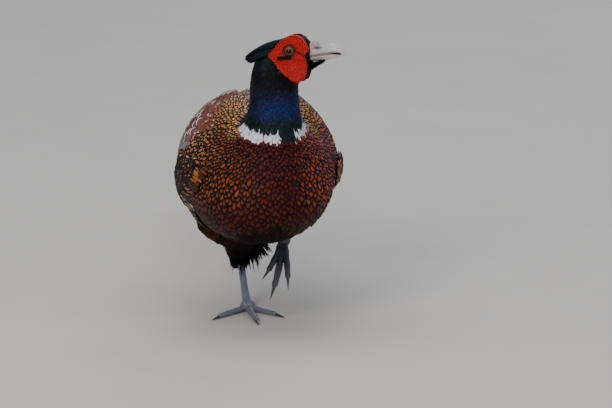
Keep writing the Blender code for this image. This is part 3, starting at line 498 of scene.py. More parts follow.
def lay_on_skin(roots, ways, length, width, rise, across=4, along=5, cup=0.22, round_tip=0.9, ragged=0.12):
    """Points of vanes pressed to the skin: rise is how high each root and tip lies above it."""
    u, v = vane_grid(across, along)
    count = len(roots)
    length, width, low, high = columns(count, length, width, *rise)
    hit, normal = press_to_skin(roots)
    ways = ways - normal * (ways * normal).sum(1)[:, None]
    turn = rng.normal(0, ragged, count)[:, None]
    ways /= np.linalg.norm(ways, axis=1)[:, None]
    side = np.cross(normal, ways)
    ways, side = ways * np.cos(turn) + side * np.sin(turn), side * np.cos(turn) - ways * np.sin(turn)
    shape = np.minimum(1.0, 0.42 + 1.15 * v) * (1 - 0.18 * v ** 6)
    x = length * v - round_tip * width * ((1 - np.sqrt(1 - 0.97 * u ** 2)) * v ** 2)
    y = width * (u * shape)
    flat = hit[:, None] + ways[:, None] * x[..., None] + side[:, None] * y[..., None]
    on, out = press_to_skin(flat.reshape(-1, 3))
    wobble = rng.normal(0, 0.10, count)[:, None] * (high - low)
    height = low + (high - low) * v ** 0.8 - cup * width * (u ** 2 * (0.3 + 0.7 * v))
    height = height + wobble * v + 0.12 * width * rng.normal(0, 0.6, count)[:, None] * u * v
    return (on + out * height.reshape(-1, 1)).reshape(count, len(u), 3)


def unwrap_trunk(roots):
    """The trunk's unwrap: round it and along it."""
    local = roots - MOVED
    return np.stack([0.5 + np.arctan2(local[:, 0], local[:, 2] - 0.158) / FULL_TURN * 0.98,
                     0.02 + 0.96 * (local[:, 1] + 0.13) / 0.36], -1)


def unwrap_upright(roots):
    """The unwrap of upright parts: round them and up them."""
    middle = roots.mean(0)
    low, high = roots[:, 2].min(), roots[:, 2].max()
    return np.stack([0.5 + np.arctan2(roots[:, 0] - middle[0], roots[:, 1] - middle[1]) / FULL_TURN * 0.98,
                     0.02 + 0.96 * (roots[:, 2] - low) / (high - low)], -1)


def mixed(first, second, weight):
    """Two colours, as hex codes or arrays, mixed for an array of weights."""
    first, second = [np.atleast_2d(np.array(colour(value) if isinstance(value, str) else value, float))
                     for value in (first, second)]
    return first + (second - first) * np.reshape(weight, (-1, 1))


def marks_of(draw, rim, amount=0.0):
    """What a vane's material reads: how wide its rim is, how strong its mark, and its own fray."""
    return np.stack([rim + 0 * draw, amount + 0 * draw, draw * 9.0], -1)


print("faces of one body vane:", len(grid_faces(4, 5, 1)))

# %% [markdown]
# ## The feather materials
# A contour feather is a vane of keratin barbs: matt in the middle, with a dark or pale margin
# and a faint shaft, and its barbs slant to the tip. Each vane carries its own ground and margin
# colours, so that one material serves a whole tract, and the margin follows the vane's own UV
# map. The barbs are really about 0.3 mm apart. They are drawn twice as coarse, so that they
# show, in colour and in bump. Glossy tracts get a tinted coat, which is how the structure of
# black barbules gives green and purple lights.


# %% Make the feather materials
def feather_finish(name, roughness, gloss, gloss_tint, sheen, sheen_tint, rows=26.0, crescent=None, bars=None,
                   bar_count=6.0, bar_gap=0.25):
    """One feather material. Its pattern is a list of small sums on the vane's own UV map."""
    made, tree, shader = finish(name, Roughness=roughness, Specular_IOR_Level=0.14, Coat_Weight=gloss,
                                Coat_Roughness=0.32, Coat_Tint=gloss_tint, Sheen_Weight=sheen,
                                Sheen_Tint=sheen_tint, Sheen_Roughness=0.4)
    parts = node(tree, "SeparateXYZ", i0=node(tree, "UVMap", {"uv_map": "Vane"}).outputs[0])
    ground, edge, marks = [node(tree, "Attribute", {"attribute_name": label}).outputs["Color"]
                           for label in ("ground", "edge", "marks")]
    marks = node(tree, "SeparateColor", i0=marks)
    known = {"x": parts.outputs["X"], "v": parts.outputs["Y"], "rim": marks.outputs["Red"],
             "amount": marks.outputs["Green"], "seed": marks.outputs["Blue"]}
    # Each row: the result's name, the sum, and its two or three terms. A * holds it within 0 to 1.
    sums = [("u", "MULTIPLY_ADD", "x", 2.0, -1.0), ("off", "ABSOLUTE", "u"),
            ("off2", "MULTIPLY", "off", "off"),
            ("tipward", "MULTIPLY_ADD", "v", 1.75, -0.75), ("outer", "MAXIMUM", "tipward", 0.0),
            ("outer2", "MULTIPLY", "outer", "outer"), ("round", "MULTIPLY_ADD", "off2", 0.80, "outer2"),
            ("plain_reach", "SQRT", "round"), ("fray_x", "MULTIPLY", "u", 5.0),
            ("fray_y", "MULTIPLY", "v", 14.0),
            ("reach", "FRAY"), ("start", "SUBTRACT", 1.0, "rim"), ("past", "SUBTRACT", "reach", "start"),
            ("margin", "DIVIDE*", "past", 0.09), ("core", "MULTIPLY", "start", 0.42),
            ("past_core", "SUBTRACT", "reach", "core"), ("ring", "DIVIDE*", "past_core", 0.10),
            ("inner", "SUBTRACT", 1.0, "ring"), ("spot", "MULTIPLY", "inner", "amount"),
            ("along", "MULTIPLY", "v", rows), ("slant", "MULTIPLY_ADD", "off", -4.2, "along"),
            ("wave", "MULTIPLY", "slant", FULL_TURN), ("barbs", "SINE", "wave"),
            ("lit_barbs", "MULTIPLY_ADD", "barbs", 0.07, 1.0), ("beside", "DIVIDE*", "off", 0.07),
            ("shaft", "SUBTRACT", 1.0, "beside"), ("shade", "MULTIPLY_ADD", "shaft", 0.12, "lit_barbs"),
            ("relief", "MULTIPLY_ADD", "shaft", 1.5, "barbs")]
    if crescent:
        sums += [("band_low", "ADD", "past", 0.19), ("band_in", "DIVIDE*", "band_low", 0.05),
                 ("not_margin", "SUBTRACT", 1.0, "margin"), ("band", "MULTIPLY", "band_in", "not_margin"),
                 ("at_tip", "MULTIPLY*", "outer", 2.2), ("tip_amount", "MULTIPLY", "at_tip", "amount"),
                 ("pale", "MULTIPLY", "band", "tip_amount"), ("line_off", "ADD", "past", 0.28),
                 ("line_far", "ABSOLUTE", "line_off"), ("line_share", "DIVIDE*", "line_far", 0.12),
                 ("line_in", "SUBTRACT", 1.0, "line_share"), ("line", "MULTIPLY", "line_in", "tip_amount")]
    if bars:
        sums += [("place", "MULTIPLY", "v", bar_count), ("bent", "MULTIPLY_ADD", "off", -0.9, "place"),
                 ("wavy", "ADD", "bent", "reach"), ("turns", "SUBTRACT", "wavy", "plain_reach"),
                 ("phase", "MULTIPLY", "turns", FULL_TURN), ("swing", "SINE", "phase"),
                 ("crest", "SUBTRACT", "swing", bar_gap), ("bar", "DIVIDE*", "crest", 0.35),
                 ("barred", "MULTIPLY", "bar", "amount")]
    for result, kind, *terms in sums:
        if kind == "FRAY":
            seeded = node(tree, "CombineXYZ", i0=known["fray_x"], i1=known["fray_y"], i2=known["seed"])
            noise = node(tree, "TexNoise", Vector=seeded.outputs[0], Scale=1.6, Detail=2.0)
            known["fray"] = noise.outputs["Fac"]
            kind, terms = "MULTIPLY_ADD", ["fray", 0.14, "plain_reach"]
        inputs = {"i" + str(index): known.get(term, term) for index, term in enumerate(terms)}
        settings = {"operation": kind.rstrip("*"), "use_clamp": kind.endswith("*")}
        known[result] = node(tree, "Math", settings, **inputs).outputs[0]
    layers = [("margin", edge)]
    if crescent:
        layers += [("pale", crescent), ("line", "#150d0b")]
    if bars:
        layers += [("barred", bars)]
    if not crescent and not bars:
        layers += [("spot", "#0c0908")]
    base = ground
    for weight, tint in layers:
        base = node(tree, "Mix", RGBA, i0=known[weight], i6=base, i7=tint).outputs[2]
    lit = node(tree, "VectorMath", {"operation": "SCALE"}, i0=base, Scale=known["shade"])
    bump = node(tree, "Bump", Strength=0.35, Distance=0.0002, Height=known["relief"])
    feed(tree, shader, Base_Color=lit.outputs[0], Normal=bump.outputs[0])
    return made


# %% Mix the nine feather finishes
# Vanes with melanin and a thin structural gloss: dark rims, a faint warm light on the copper
COPPER = feather_finish("copper breast feathers", 0.56, 0.04, "#d8a0a8", 0.02, "#b07888")
# Matt vanes whose pale and dark parts give the back its speckled look
BACK = feather_finish("barred back feathers", 0.62, 0.03, "#ffffff", 0.05, "#c0a8c0")
# Black barbules with a regular structure, which throw back blue from a nearly black ground
NECK = feather_finish("glossy neck feathers", 0.42, 0.12, "#4a62d8", 0.02, "#4050c0", 12.0)
# White vanes without pigment: air in the barbs scatters all light, with a soft edge
COLLAR = feather_finish("white collar feathers", 0.6, 0.0, "#ffffff", 0.2, "#c8d4f0", 12.0)
# The same barbules on the head as on the neck, with a weaker green gloss
HEAD = feather_finish("glossy head feathers", 0.50, 0.06, "#4f9a90", 0.01, "#60a890", 10.0)
# Loose downy vanes with no gloss: they swallow light
DOWN = feather_finish("dark loose belly feathers", 0.90, 0.0, "#ffffff", 0.01, "#8a7a70")
# Shoulder vanes with a cream crescent and a black line inside it
SHOULDER = feather_finish("crescent shoulder feathers", 0.58, 0.03, "#ffffff", 0.03, "#c0a8a8",
                          crescent="#e6dfd2")
# Stiff flight vanes, brown with broken buff bars
FLIGHT = feather_finish("barred flight feathers", 0.60, 0.04, "#ffffff", 0.08, "#b8b0b8", 60.0,
                        bars="#b49a78")
# Long tail vanes, olive buff with narrow black bars
RECTRIX = feather_finish("barred tail feathers", 0.55, 0.05, "#ffffff", 0.10, "#a08a90", 150.0,
                         bars="#1d1512", bar_count=20.0, bar_gap=0.45)
print("feather materials:", sum("feathers" in material.name for material in bpy.data.materials))


# %% [markdown]
# ## Body feathers
# From the collar the feathers run down the breast and back along the flanks, as if combed away
# from the neck. They stand about 3 mm apart under the collar and 6 mm at the flanks and belly.
# The markings change from place to place: deep chestnut with a thin black rim on the breast,
# copper teardrops at its sides, golden flanks with black tips, a cream and black mantle,
# crescents on the shoulders, a lilac rump and a black belly. These are laid out as soft zones
# by angle and place, the same for the skin below, so no gap shows another colour.

# %% Zone the body's colours
def crescent_line(y):
    """Above this angle the shoulder feathers carry crescents. It falls from the neck to the wing."""
    return np.interp(y, [-0.060, 0.000, 0.050, 0.090], [64.0, 27.0, 14.0, 8.0])


COLLAR_LEVEL = 0.2055
BREAST_SOURCE = np.array([0.0, -0.066, 0.236]) + MOVED


def collar_height(places):
    """How high a point lies above the edge between neck and body."""
    local = places - MOVED
    neck_radius = np.interp(local[:, 2], [0.200, 0.210, 0.220, 0.235, 0.300],
                            [0.0352, 0.0338, 0.0330, 0.0315, 0.0600])
    level = COLLAR_LEVEL + 0.10 * (local[:, 1] + 0.100) + 0.0030 * step(0.014, 0.028, local[:, 0])
    return np.where(np.hypot(local[:, 0], local[:, 1] + 0.062) < neck_radius, local[:, 2] - level, -0.05)


def is_neck(places):
    return (collar_height(places) > 0.0) & (places[:, 2] > 0.195)


def leg_area(places):
    """The thighs' feathering: what lies low and off the trunk's own belly."""
    local = places - MOVED
    belly = trunk_form(local[:, 1])[1]
    return (local[:, 2] < belly - 0.002) | ((local[:, 2] < 0.094) & (local[:, 1] > 0.0))


def body_zones(places):
    """Ground and margin colours, and how wide the margin and the spot are, for each place."""
    local = places - MOVED
    x, y, z = local.T
    top, bottom = trunk_form(y)[:2]
    high = np.clip((z - bottom) / (top - bottom), 0, 1)
    front = np.degrees(np.arctan2(np.abs(x + 0.004), -(y - 0.010)))
    angle = trunk_angle(places)
    far_side = step(0.0, 0.030, x)
    draw = rng.random(len(places))
    # The breast is chestnut, with copper at its sides, gold on the flanks and gloss near the neck
    copper = step(8, 34, front + 10 * draw) * step(0.34, 0.64, high + 0.06 * draw)
    gold = step(40, 64, front + 10 * draw) * step(0.34, 0.58, high)
    gloss = step(0.70, 0.90, high) * (1 - step(24, 44, front))
    ground = mixed(mixed("#4c1708", "#64200c", high), "#964a1c", copper)
    ground = mixed(ground, "#581610", gloss * (1 - 0.7 * copper))
    ground = mixed(ground, mixed("#d7a060", "#bd7434", draw), gold)
    ground = mixed(ground, "#c2581a", far_side * copper * (1 - gold) * 0.8)
    ground = mixed(ground, mixed("#c79a7c", "#a8645a", draw), far_side * gold * step(56, 72, front))
    edge = mixed("#150505", "#0a080b", copper)
    # On the bird's left the black rims of the copper feathers take a violet tint: painted gloss from the
    # light on that side
    edge = mixed(edge, "#1f1436", far_side * step(0.4, 0.7, high) * copper)
    rim = 0.30 + 0.09 * copper + 0.04 * gold
    spot = 0.0 * x
    # The shoulders carry crescents, and the mantle between them is cream and black
    crescent = step(-3, 4, angle + 6 * draw - 3 - crescent_line(y)) * (1 - step(46, 58, angle - 250 * y))
    crescent *= step(-0.062, -0.045, y)
    mantle = step(48, 60, angle + 6 * draw) * (1 - step(0.004, 0.030, y)) * step(-0.070, -0.055, y)
    mantle *= 1 - crescent
    cream = mixed(mixed("#cf9d5c", "#b98248", draw), mixed("#c9ab92", "#b8a0a0", draw), step(58, 84, angle))
    ground = mixed(ground, cream, mantle)
    edge = mixed(edge, "#2a1814", mantle * 0.85)
    rim = rim * (1 - mantle) + 0.26 * mantle
    spot = np.maximum(spot, mantle * 0.95)
    ground = mixed(ground, mixed("#84482f", "#6c3a34", draw), crescent)
    edge = mixed(edge, mixed("#5c2c22", "#74483c", draw), crescent)
    rim = rim * (1 - crescent) + 0.20 * crescent
    # The rump is lilac grey, and the flank behind it rusty
    rump = step(54, 66, angle) * step(-0.004, 0.020, y)
    rump = np.maximum(rump, step(0.035, 0.060, y) * step(25, 45, angle))
    ground = mixed(ground, mixed("#948f9c", "#9c8688", draw), rump)
    edge = mixed(edge, "#6b5146", rump)
    spot = spot * (1 - rump) + 0.60 * rump * (draw > 0.35)
    hind = step(0.085, 0.125, y) * step(0.45, 0.62, high)
    ground = mixed(ground, "#8a4a2c", hind * 0.8)
    # The belly and vent are nearly black. Then each vane gets its own lightness
    belly = 1 - step(0.03, 0.15, high - 0.04 * (1 - step(40, 80, front)) + 0.04 * draw)
    vent = step(0.070, 0.115, y) * (1 - step(0.42, 0.58, high))
    dark = np.maximum(belly, vent)
    ground = mixed(ground, "#16100e", dark)
    edge = mixed(edge, "#0a0807", dark)
    ground = ground * (0.76 + 0.48 * rng.random(len(places)))[:, None]
    pale = (rng.random(len(places)) > 0.62) * crescent * (1 - rump)
    # Which finish a vane has: 0 copper, 1 barred back, 2 dark belly, 3 shoulder
    kind = np.where((rump > 0.5) | (spot > 0.3), 1, 0)
    kind = np.where(dark > 0.5, 2, np.where(crescent * (1 - rump) > 0.5, 3, kind))
    spot = np.where(kind == 3, pale, np.where(kind == 0, 0.0, spot))
    return ground, edge, marks_of(draw, rim, spot), dark, kind


def away_from(places, source):
    """The way straight off a source point, as the coat is combed."""
    ways = places - source
    return ways / np.linalg.norm(ways, axis=1)[:, None]


NARROWEST = 0.0029


def body_spacing(places):
    away_from_neck = np.linalg.norm(places - BREAST_SOURCE, axis=1)
    y = places[:, 1] - STANCE.y
    upper = step(-8, 4, trunk_angle(places) - crescent_line(y)) * step(-0.075, -0.050, y)
    return (NARROWEST + NARROWEST * step(0.05, 0.17, away_from_neck)) * (1 + 0.12 * upper)


print("feathers stand", NARROWEST, "to", 2 * NARROWEST, "m apart")

# %% Feather the body
def under_wing(places):
    """Where the flight feathers hide the flank, so that nothing needs to grow."""
    y = places[:, 1] - STANCE.y
    angle = trunk_angle(places)
    return (y > 0.040) & (y < 0.105) & (angle > -4) & (angle < 46)


def body_wanted(places):
    local = places - MOVED
    bare = is_neck(places) | leg_area(places) | under_wing(places)
    return ~bare & (local[:, 2] < 0.244) & (local[:, 1] < 0.178)


coats = []
for name, low, high in (("coat_breast", -0.2, -0.030), ("coat_back", -0.030, 0.2)):
    def wanted(places, low=low, high=high):
        return body_wanted(places) & (places[:, 1] - STANCE.y >= low) & (places[:, 1] - STANCE.y < high)

    roots = scatter(wanted, body_spacing)
    apart = body_spacing(roots)
    ways = away_from(roots, BREAST_SOURCE)
    ways[:, 1] += 0.35 * step(0.0, 0.08, roots[:, 1] + 0.045)
    ground, edge, marks, dark, kind = body_zones(roots)
    length = apart * (2.7 + 0.5 * dark + 0.3 * rng.random(len(roots)))
    points = lay_on_skin(roots, ways, length, apart * 0.78, (0.0004, 0.0028))
    coat = feather_mesh(name, points, 4, 5, unwrap_trunk(roots), ground, edge, marks)
    for material in (COPPER, BACK, DOWN, SHOULDER):
        coat.data.materials.append(material)
    coat.data.polygons.foreach_set("material_index", np.repeat(kind, 4 * 5).astype(np.int32))
    coats.append(coat)
    print(name, "feathers:", len(roots), "triangles:", len(roots) * 40)

# %% [markdown]
# ## Neck, collar and head feathers
# Above the collar the feathers are short, dense and glossy, and they shrink towards the bill to
# hardly 2 mm. The white collar is only a change of colour: the ring is open in front, where a
# few dark feathers hang over it, and its upper rim is ragged because dark vane tips fall on it.
# The bare face and the bill are left free. Under the lower bill the chin's feathers stand off the
# skin like a short beard, so they are laid freely and not pressed to it.

# %% Feather the neck
# The bare face's outline, how far ahead and up each of its points lies
FACE = np.array([
    (-0.0020, 0.0240), (0.0064, 0.0180), (0.0106, 0.0104), (0.0058, 0.0044), (0.0092, -0.0040),
    (0.0090, -0.0130), (0.0050, -0.0206), (-0.0010, -0.0228), (-0.0085, -0.0180), (-0.0160, -0.0120),
    (-0.0225, -0.0030), (-0.0305, 0.0040), (-0.0240, 0.0092), (-0.0170, 0.0176), (-0.0105, 0.0226)])
THROAT = np.array([-0.002, -0.066, 0.310]) + MOVED


def head_places(places):
    """How far points lie ahead, to the bird's right and up in the head's own frame."""
    return [(places - HEAD_POINT) @ axis for axis in (AHEAD, ASIDE, UPWARD)]


def in_outline(a, b, outline):
    """Whether points of a plane lie inside an outline."""
    inside = np.zeros(len(a), bool)
    for (a0, b0), (a1, b1) in zip(outline, np.roll(outline, -1, 0)):
        crosses = (b0 > b) != (b1 > b)
        inside ^= crosses & (a < (a1 - a0) * (b - b0) / (b1 - b0 + 1e-12) + a0)
    return inside


def is_head(places):
    ahead, side, up = head_places(places)
    return (places[:, 2] > 0.250) & (up > -0.0245 - 0.25 * (ahead + 0.02))


def neck_zones(places):
    local = places - MOVED
    height = collar_height(places)
    turn = np.degrees(np.arctan2(local[:, 0], -(local[:, 1] + 0.060)))
    draw = rng.random(len(places))
    side = step(28, 72, np.abs(turn - 6))
    ground = mixed("#062423", "#12296a", step(0.020, 0.034, height + 0.005 * draw))
    ground = mixed(ground, "#241f62", step(0.030, 0.044, height) * 0.6 * step(0.5, 0.9, draw))
    ground = mixed(ground, mixed("#04070f", "#061016", draw), step(0.038, 0.060, height + 0.006 * draw))
    ground = mixed(ground, mixed("#04090c", "#0a1a24", draw), 0.75 * side)
    open_front = step(17.5, 14, np.abs(turn - 13))
    ragged = 0.0010 * np.sin(turn * 0.55) + 0.0014 * (draw - 0.5)
    ring_top = 0.0108 + 0.0016 * side
    white = step(-0.0002, 0.0006, height) * (1 - step(-0.0006, 0.0008, height + ragged - ring_top))
    white = white * (1 - open_front) * step(-112, -100, turn) * step(112, 100, turn)
    ground = mixed(ground, "#eef1f8", white)
    edge = mixed(ground * 0.35, "#dde2ee", white)
    ground = ground * (0.7 + 0.6 * draw)[:, None] ** (1 - 0.85 * white[:, None])
    return ground, edge, marks_of(draw, 0.22 - 0.1 * white), white


NECK_VANE = 0.0026
roots = scatter(lambda places: is_neck(places) & ~is_head(places),
                lambda places: 0.0018 + 0.0004 * (places[:, 2] < 0.225))
ways = away_from(roots, THROAT)
ways[:, 2] -= 0.9
ground, edge, marks, white = neck_zones(roots)
points = lay_on_skin(roots, ways, NECK_VANE * (2.8 + 1.2 * rng.random(len(roots))),
                     NECK_VANE * (0.62 - 0.06 * white), (0.0003, 0.0017), 2, 4, cup=0.30, round_tip=1.0,
                     ragged=0.16)
coat_neck = feather_mesh("coat_neck", points, 2, 4, unwrap_upright(roots), ground, edge, marks)
coat_neck.data.materials.append(NECK)
coat_neck.data.materials.append(COLLAR)
coat_neck.data.polygons.foreach_set("material_index", np.repeat(white > 0.5, 2 * 4).astype(np.int32))
print("neck feathers:", len(roots))

# %% Feather the head
def head_wanted(places):
    ahead, side, up = head_places(places)
    face = in_outline(ahead, up, FACE * 0.97) & (np.abs(side) > 0.006)
    bill = (ahead > 0.0115) & (up > 0.0005)
    return is_head(places) & ~face & ~bill


def chin_feathers(count):
    """Points of the feathers that hang like a short beard under the lower bill."""
    u, v = vane_grid(2, 3)
    start = 0.0262 - 0.0230 * rng.random(count) ** 1.3
    across = rng.uniform(-1, 1, count) * np.interp(start, [0.003, 0.0262], [0.0098, 0.0024])
    deep = rng.random(count)
    low = np.interp(start, [0.003, 0.012, 0.0262], [-0.0050, -0.0022, 0.0008])
    low -= 0.0030 * deep * step(0.026, 0.012, start)
    long = np.interp(start, [0.003, 0.014, 0.0200, 0.0262], [0.0140, 0.0125, 0.0085, 0.0045])
    long *= 0.75 + 0.35 * rng.random(count)
    x = start[:, None] - long[:, None] * (0.34 + 0.2 * deep)[:, None] * v
    z = low[:, None] - long[:, None] * 0.80 * (0.6 * v + 0.4 * v ** 2)
    y = across[:, None] * (1 + 0.10 * v) + 0.0010 * (u * (1 - 0.6 * v ** 3))
    return on_head(x, y, z), start, across


roots = scatter(head_wanted, lambda places: 0.0013 + 0.0005 * step(0.02, -0.02, head_places(places)[0]))
ahead, side, up = head_places(roots)
bill_root = HEAD_POINT + 0.020 * AHEAD + 0.008 * UPWARD
ways = away_from(roots, bill_root)
ways -= 0.8 * step(-0.004, -0.020, up)[:, None] * np.array((0, 0, 1.0))
draw = rng.random(len(roots))
ground = mixed("#06201d", "#0c1428", step(0.002, 0.012, ahead) * draw)
ground = mixed(ground, "#05080f", step(0.006, -0.010, up)) * (0.6 + 0.8 * draw)[:, None]
size = 0.0013 + 0.0012 * step(0.012, -0.024, ahead)
points = lay_on_skin(roots, ways, size * (2.9 + draw), size * 0.60, (0.0002, 0.0007 + 0.35 * size), 2, 3,
                     cup=0.25, round_tip=1.0)
coat_head = feather_mesh("coat_head", points, 2, 3, unwrap_upright(roots), ground, ground * 0.45,
                         marks_of(draw, 0.25))
coat_head.data.materials.append(HEAD)
chin_points, start, across = chin_feathers(900)
draw = rng.random(len(start))
coat_chin = feather_mesh("coat_chin", chin_points, 2, 3, np.stack([0.5 + 8 * across, 0.5 + 8 * start], -1),
                         mixed("#070a10", "#10131a", draw), "#040506", marks_of(draw, 0.2))
coat_chin.data.materials.append(DOWN)
print("head feathers:", len(roots), "chin feathers:", len(start))

# %% [markdown]
# ## Thighs
# The thighs wear long, soft, nearly black feathers that end over the heel in a ragged fringe.
# They are laid as the body's are, longer and looser, along the leg's own way down. The fringe is
# not pressed to the skin: a ring of loose vanes hangs from the standing leg's heel, and about a
# fifth of them stand off its inner side as a tuft.

# %% Feather the thighs
roots = scatter(lambda places: leg_area(places) & (places[:, 2] < 0.130),
                lambda places: 0.0026 + 0 * places[:, 0], 60000)
draw = rng.random(len(roots))
local = roots - MOVED
sign = np.where(local[:, 0] < 0.018, 0.0, 1.0)
low_down = step(0.095, 0.060, local[:, 2])
ways = np.stack([0.10 - 0.3 * sign, 0.75 - 0.55 * step(0.075, 0.050, local[:, 2]), -1.0 + 0.2 * sign], -1)
flank = step(0.074, 0.090, local[:, 2]) * (1 - sign) * step(0.060, 0.030, local[:, 1])
ground = mixed("#1a120e", "#0b0908", draw)
ground = mixed(ground, mixed("#3c190d", "#54260f", draw), flank)
long = 0.010 + 0.006 * draw + 0.006 * low_down * draw ** 3
points = lay_on_skin(roots, ways, long * (1 - 0.3 * flank), 0.0016 - 0.0004 * low_down + 0.0008 * flank,
                     (0.0004, 0.0020 + 0.0020 * draw ** 2 * low_down), 2, 4, cup=0.2, round_tip=1.8,
                     ragged=0.20)
coat_thighs = feather_mesh("coat_thighs", points, 2, 4, unwrap_upright(roots), ground, ground * 0.5,
                           marks_of(draw, 0.2 + 0.08 * flank))
coat_thighs.data.materials.append(DOWN)
print("thigh feathers:", len(roots))

# %% Hang the fringe on the standing leg
u, v = vane_grid(2, 5)
count = 340
turn = rng.uniform(0, FULL_TURN, count)
draw = rng.random(count)
tuft = rng.random(count) < 0.22
ring = np.stack([np.cos(turn), np.sin(turn), 0 * turn], -1)
roots = np.array([-0.0050, 0.0840, 0.0600]) + MOVED + ring * np.array([0.0118, 0.0130, 0.0])
roots[:, 2] += rng.uniform(-0.003, 0.014, count)
roots[tuft] = (np.array([0.0030, 0.0780, 0.0700]) + MOVED
               + rng.uniform(-1, 1, (tuft.sum(), 3)) * np.array([0.0030, 0.0050, 0.0050]))
ways = ring * 0.14 + np.array([0.05, -0.22, -1.0])
ways[tuft] = np.array([0.70, 0.0, -0.9]) + rng.normal(0, 0.14, (tuft.sum(), 3))
ways /= np.linalg.norm(ways, axis=1)[:, None]
across = np.cross(ways, np.where(tuft[:, None], np.array((0.0, -1.0, 0.0)), ring))
across /= np.linalg.norm(across, axis=1)[:, None]
long = np.where(tuft, 0.018 + 0.010 * draw, 0.015 + 0.014 * draw ** 2)[:, None, None]
narrow = 0.0013 * u * (1 - 0.85 * v ** 2)
points = roots[:, None] + ways[:, None] * long * v[:, None] + across[:, None] * narrow[:, None]
ground = mixed("#1a120e", "#0b0908", draw)
coat_fringe = feather_mesh("coat_fringe", points, 2, 5, unwrap_upright(roots), ground, ground * 0.5,
                           marks_of(draw, 0.2))
coat_fringe.data.materials.append(DOWN)
print("fringe vanes:", count, "of them in the tuft:", tuft.sum())

# %% [markdown]
# ## The folded wings
# A folded wing is a stack of tiers: the long primaries lie lowest, the secondaries cover them,
# and rows of coverts and the shoulder feathers roof it all in front. Each feather is laid by
# its place along the trunk and its angle round it, from root to tip, so both wings come from
# the same numbers. The shoulder feathers carry cream crescents with a black line inside, and the
# coverts lower on the wing are blue-grey. The flank's feathers come up over the wing's front and
# lower edges, as on a bird at rest, so they are laid last and higher than what they cover.

# %% Lay the wing feathers
def lay_on_wing(root, tip, width, rise, sign, across=6, along=8, round_tip=0.9, cup=0.16, tilt=0.0):
    """Points of vanes from roots to tips, both as place along the trunk and angle in degrees."""
    u, v = vane_grid(across, along)
    width, low, high = columns(len(root), width, *rise)
    shape = np.minimum(1.0, 0.45 + 1.3 * v) * (1 - 0.22 * v ** 7)
    back = round_tip * width * ((1 - np.sqrt(1 - 0.97 * u ** 2)) * v ** 3)
    y = root[:, :1] + (tip - root)[:, :1] * v - back
    around = np.maximum(trunk_form(y)[3], 0.034)
    turn = np.radians(root[:, 1:] + (tip - root)[:, 1:] * v) + width * (u * shape) / around
    lift = low + (high - low) * v ** 0.9 - cup * width * (u ** 2 * (0.3 + 0.7 * v)) - tilt * (u * v)
    return on_trunk(y, turn if sign > 0 else math.pi - turn, lift)


def rows_of(count, *ends):
    """Roots and tips of one tier, from the uppermost feather to the lowest."""
    top_root, top_tip, low_root, low_tip = np.array(ends)
    place = np.linspace(0, 1, count)[:, None]
    bow = 0.006 * np.sin(math.pi * place) * np.array((1.0, 0.0))
    return top_root + (low_root - top_root) * place, top_tip + (low_tip - top_tip) * place + bow


def wing_piece(name, layers, turned, across, along, material):
    """Joins layers of laid feathers to one piece of the wing."""
    points, ground, edge, marks = [np.concatenate(part) for part in zip(*layers)]
    piece = feather_mesh(name, points, across, along, unwrap_trunk(points[:, 0]), ground, edge, marks, turned)
    piece.data.materials.append(material)
    return piece


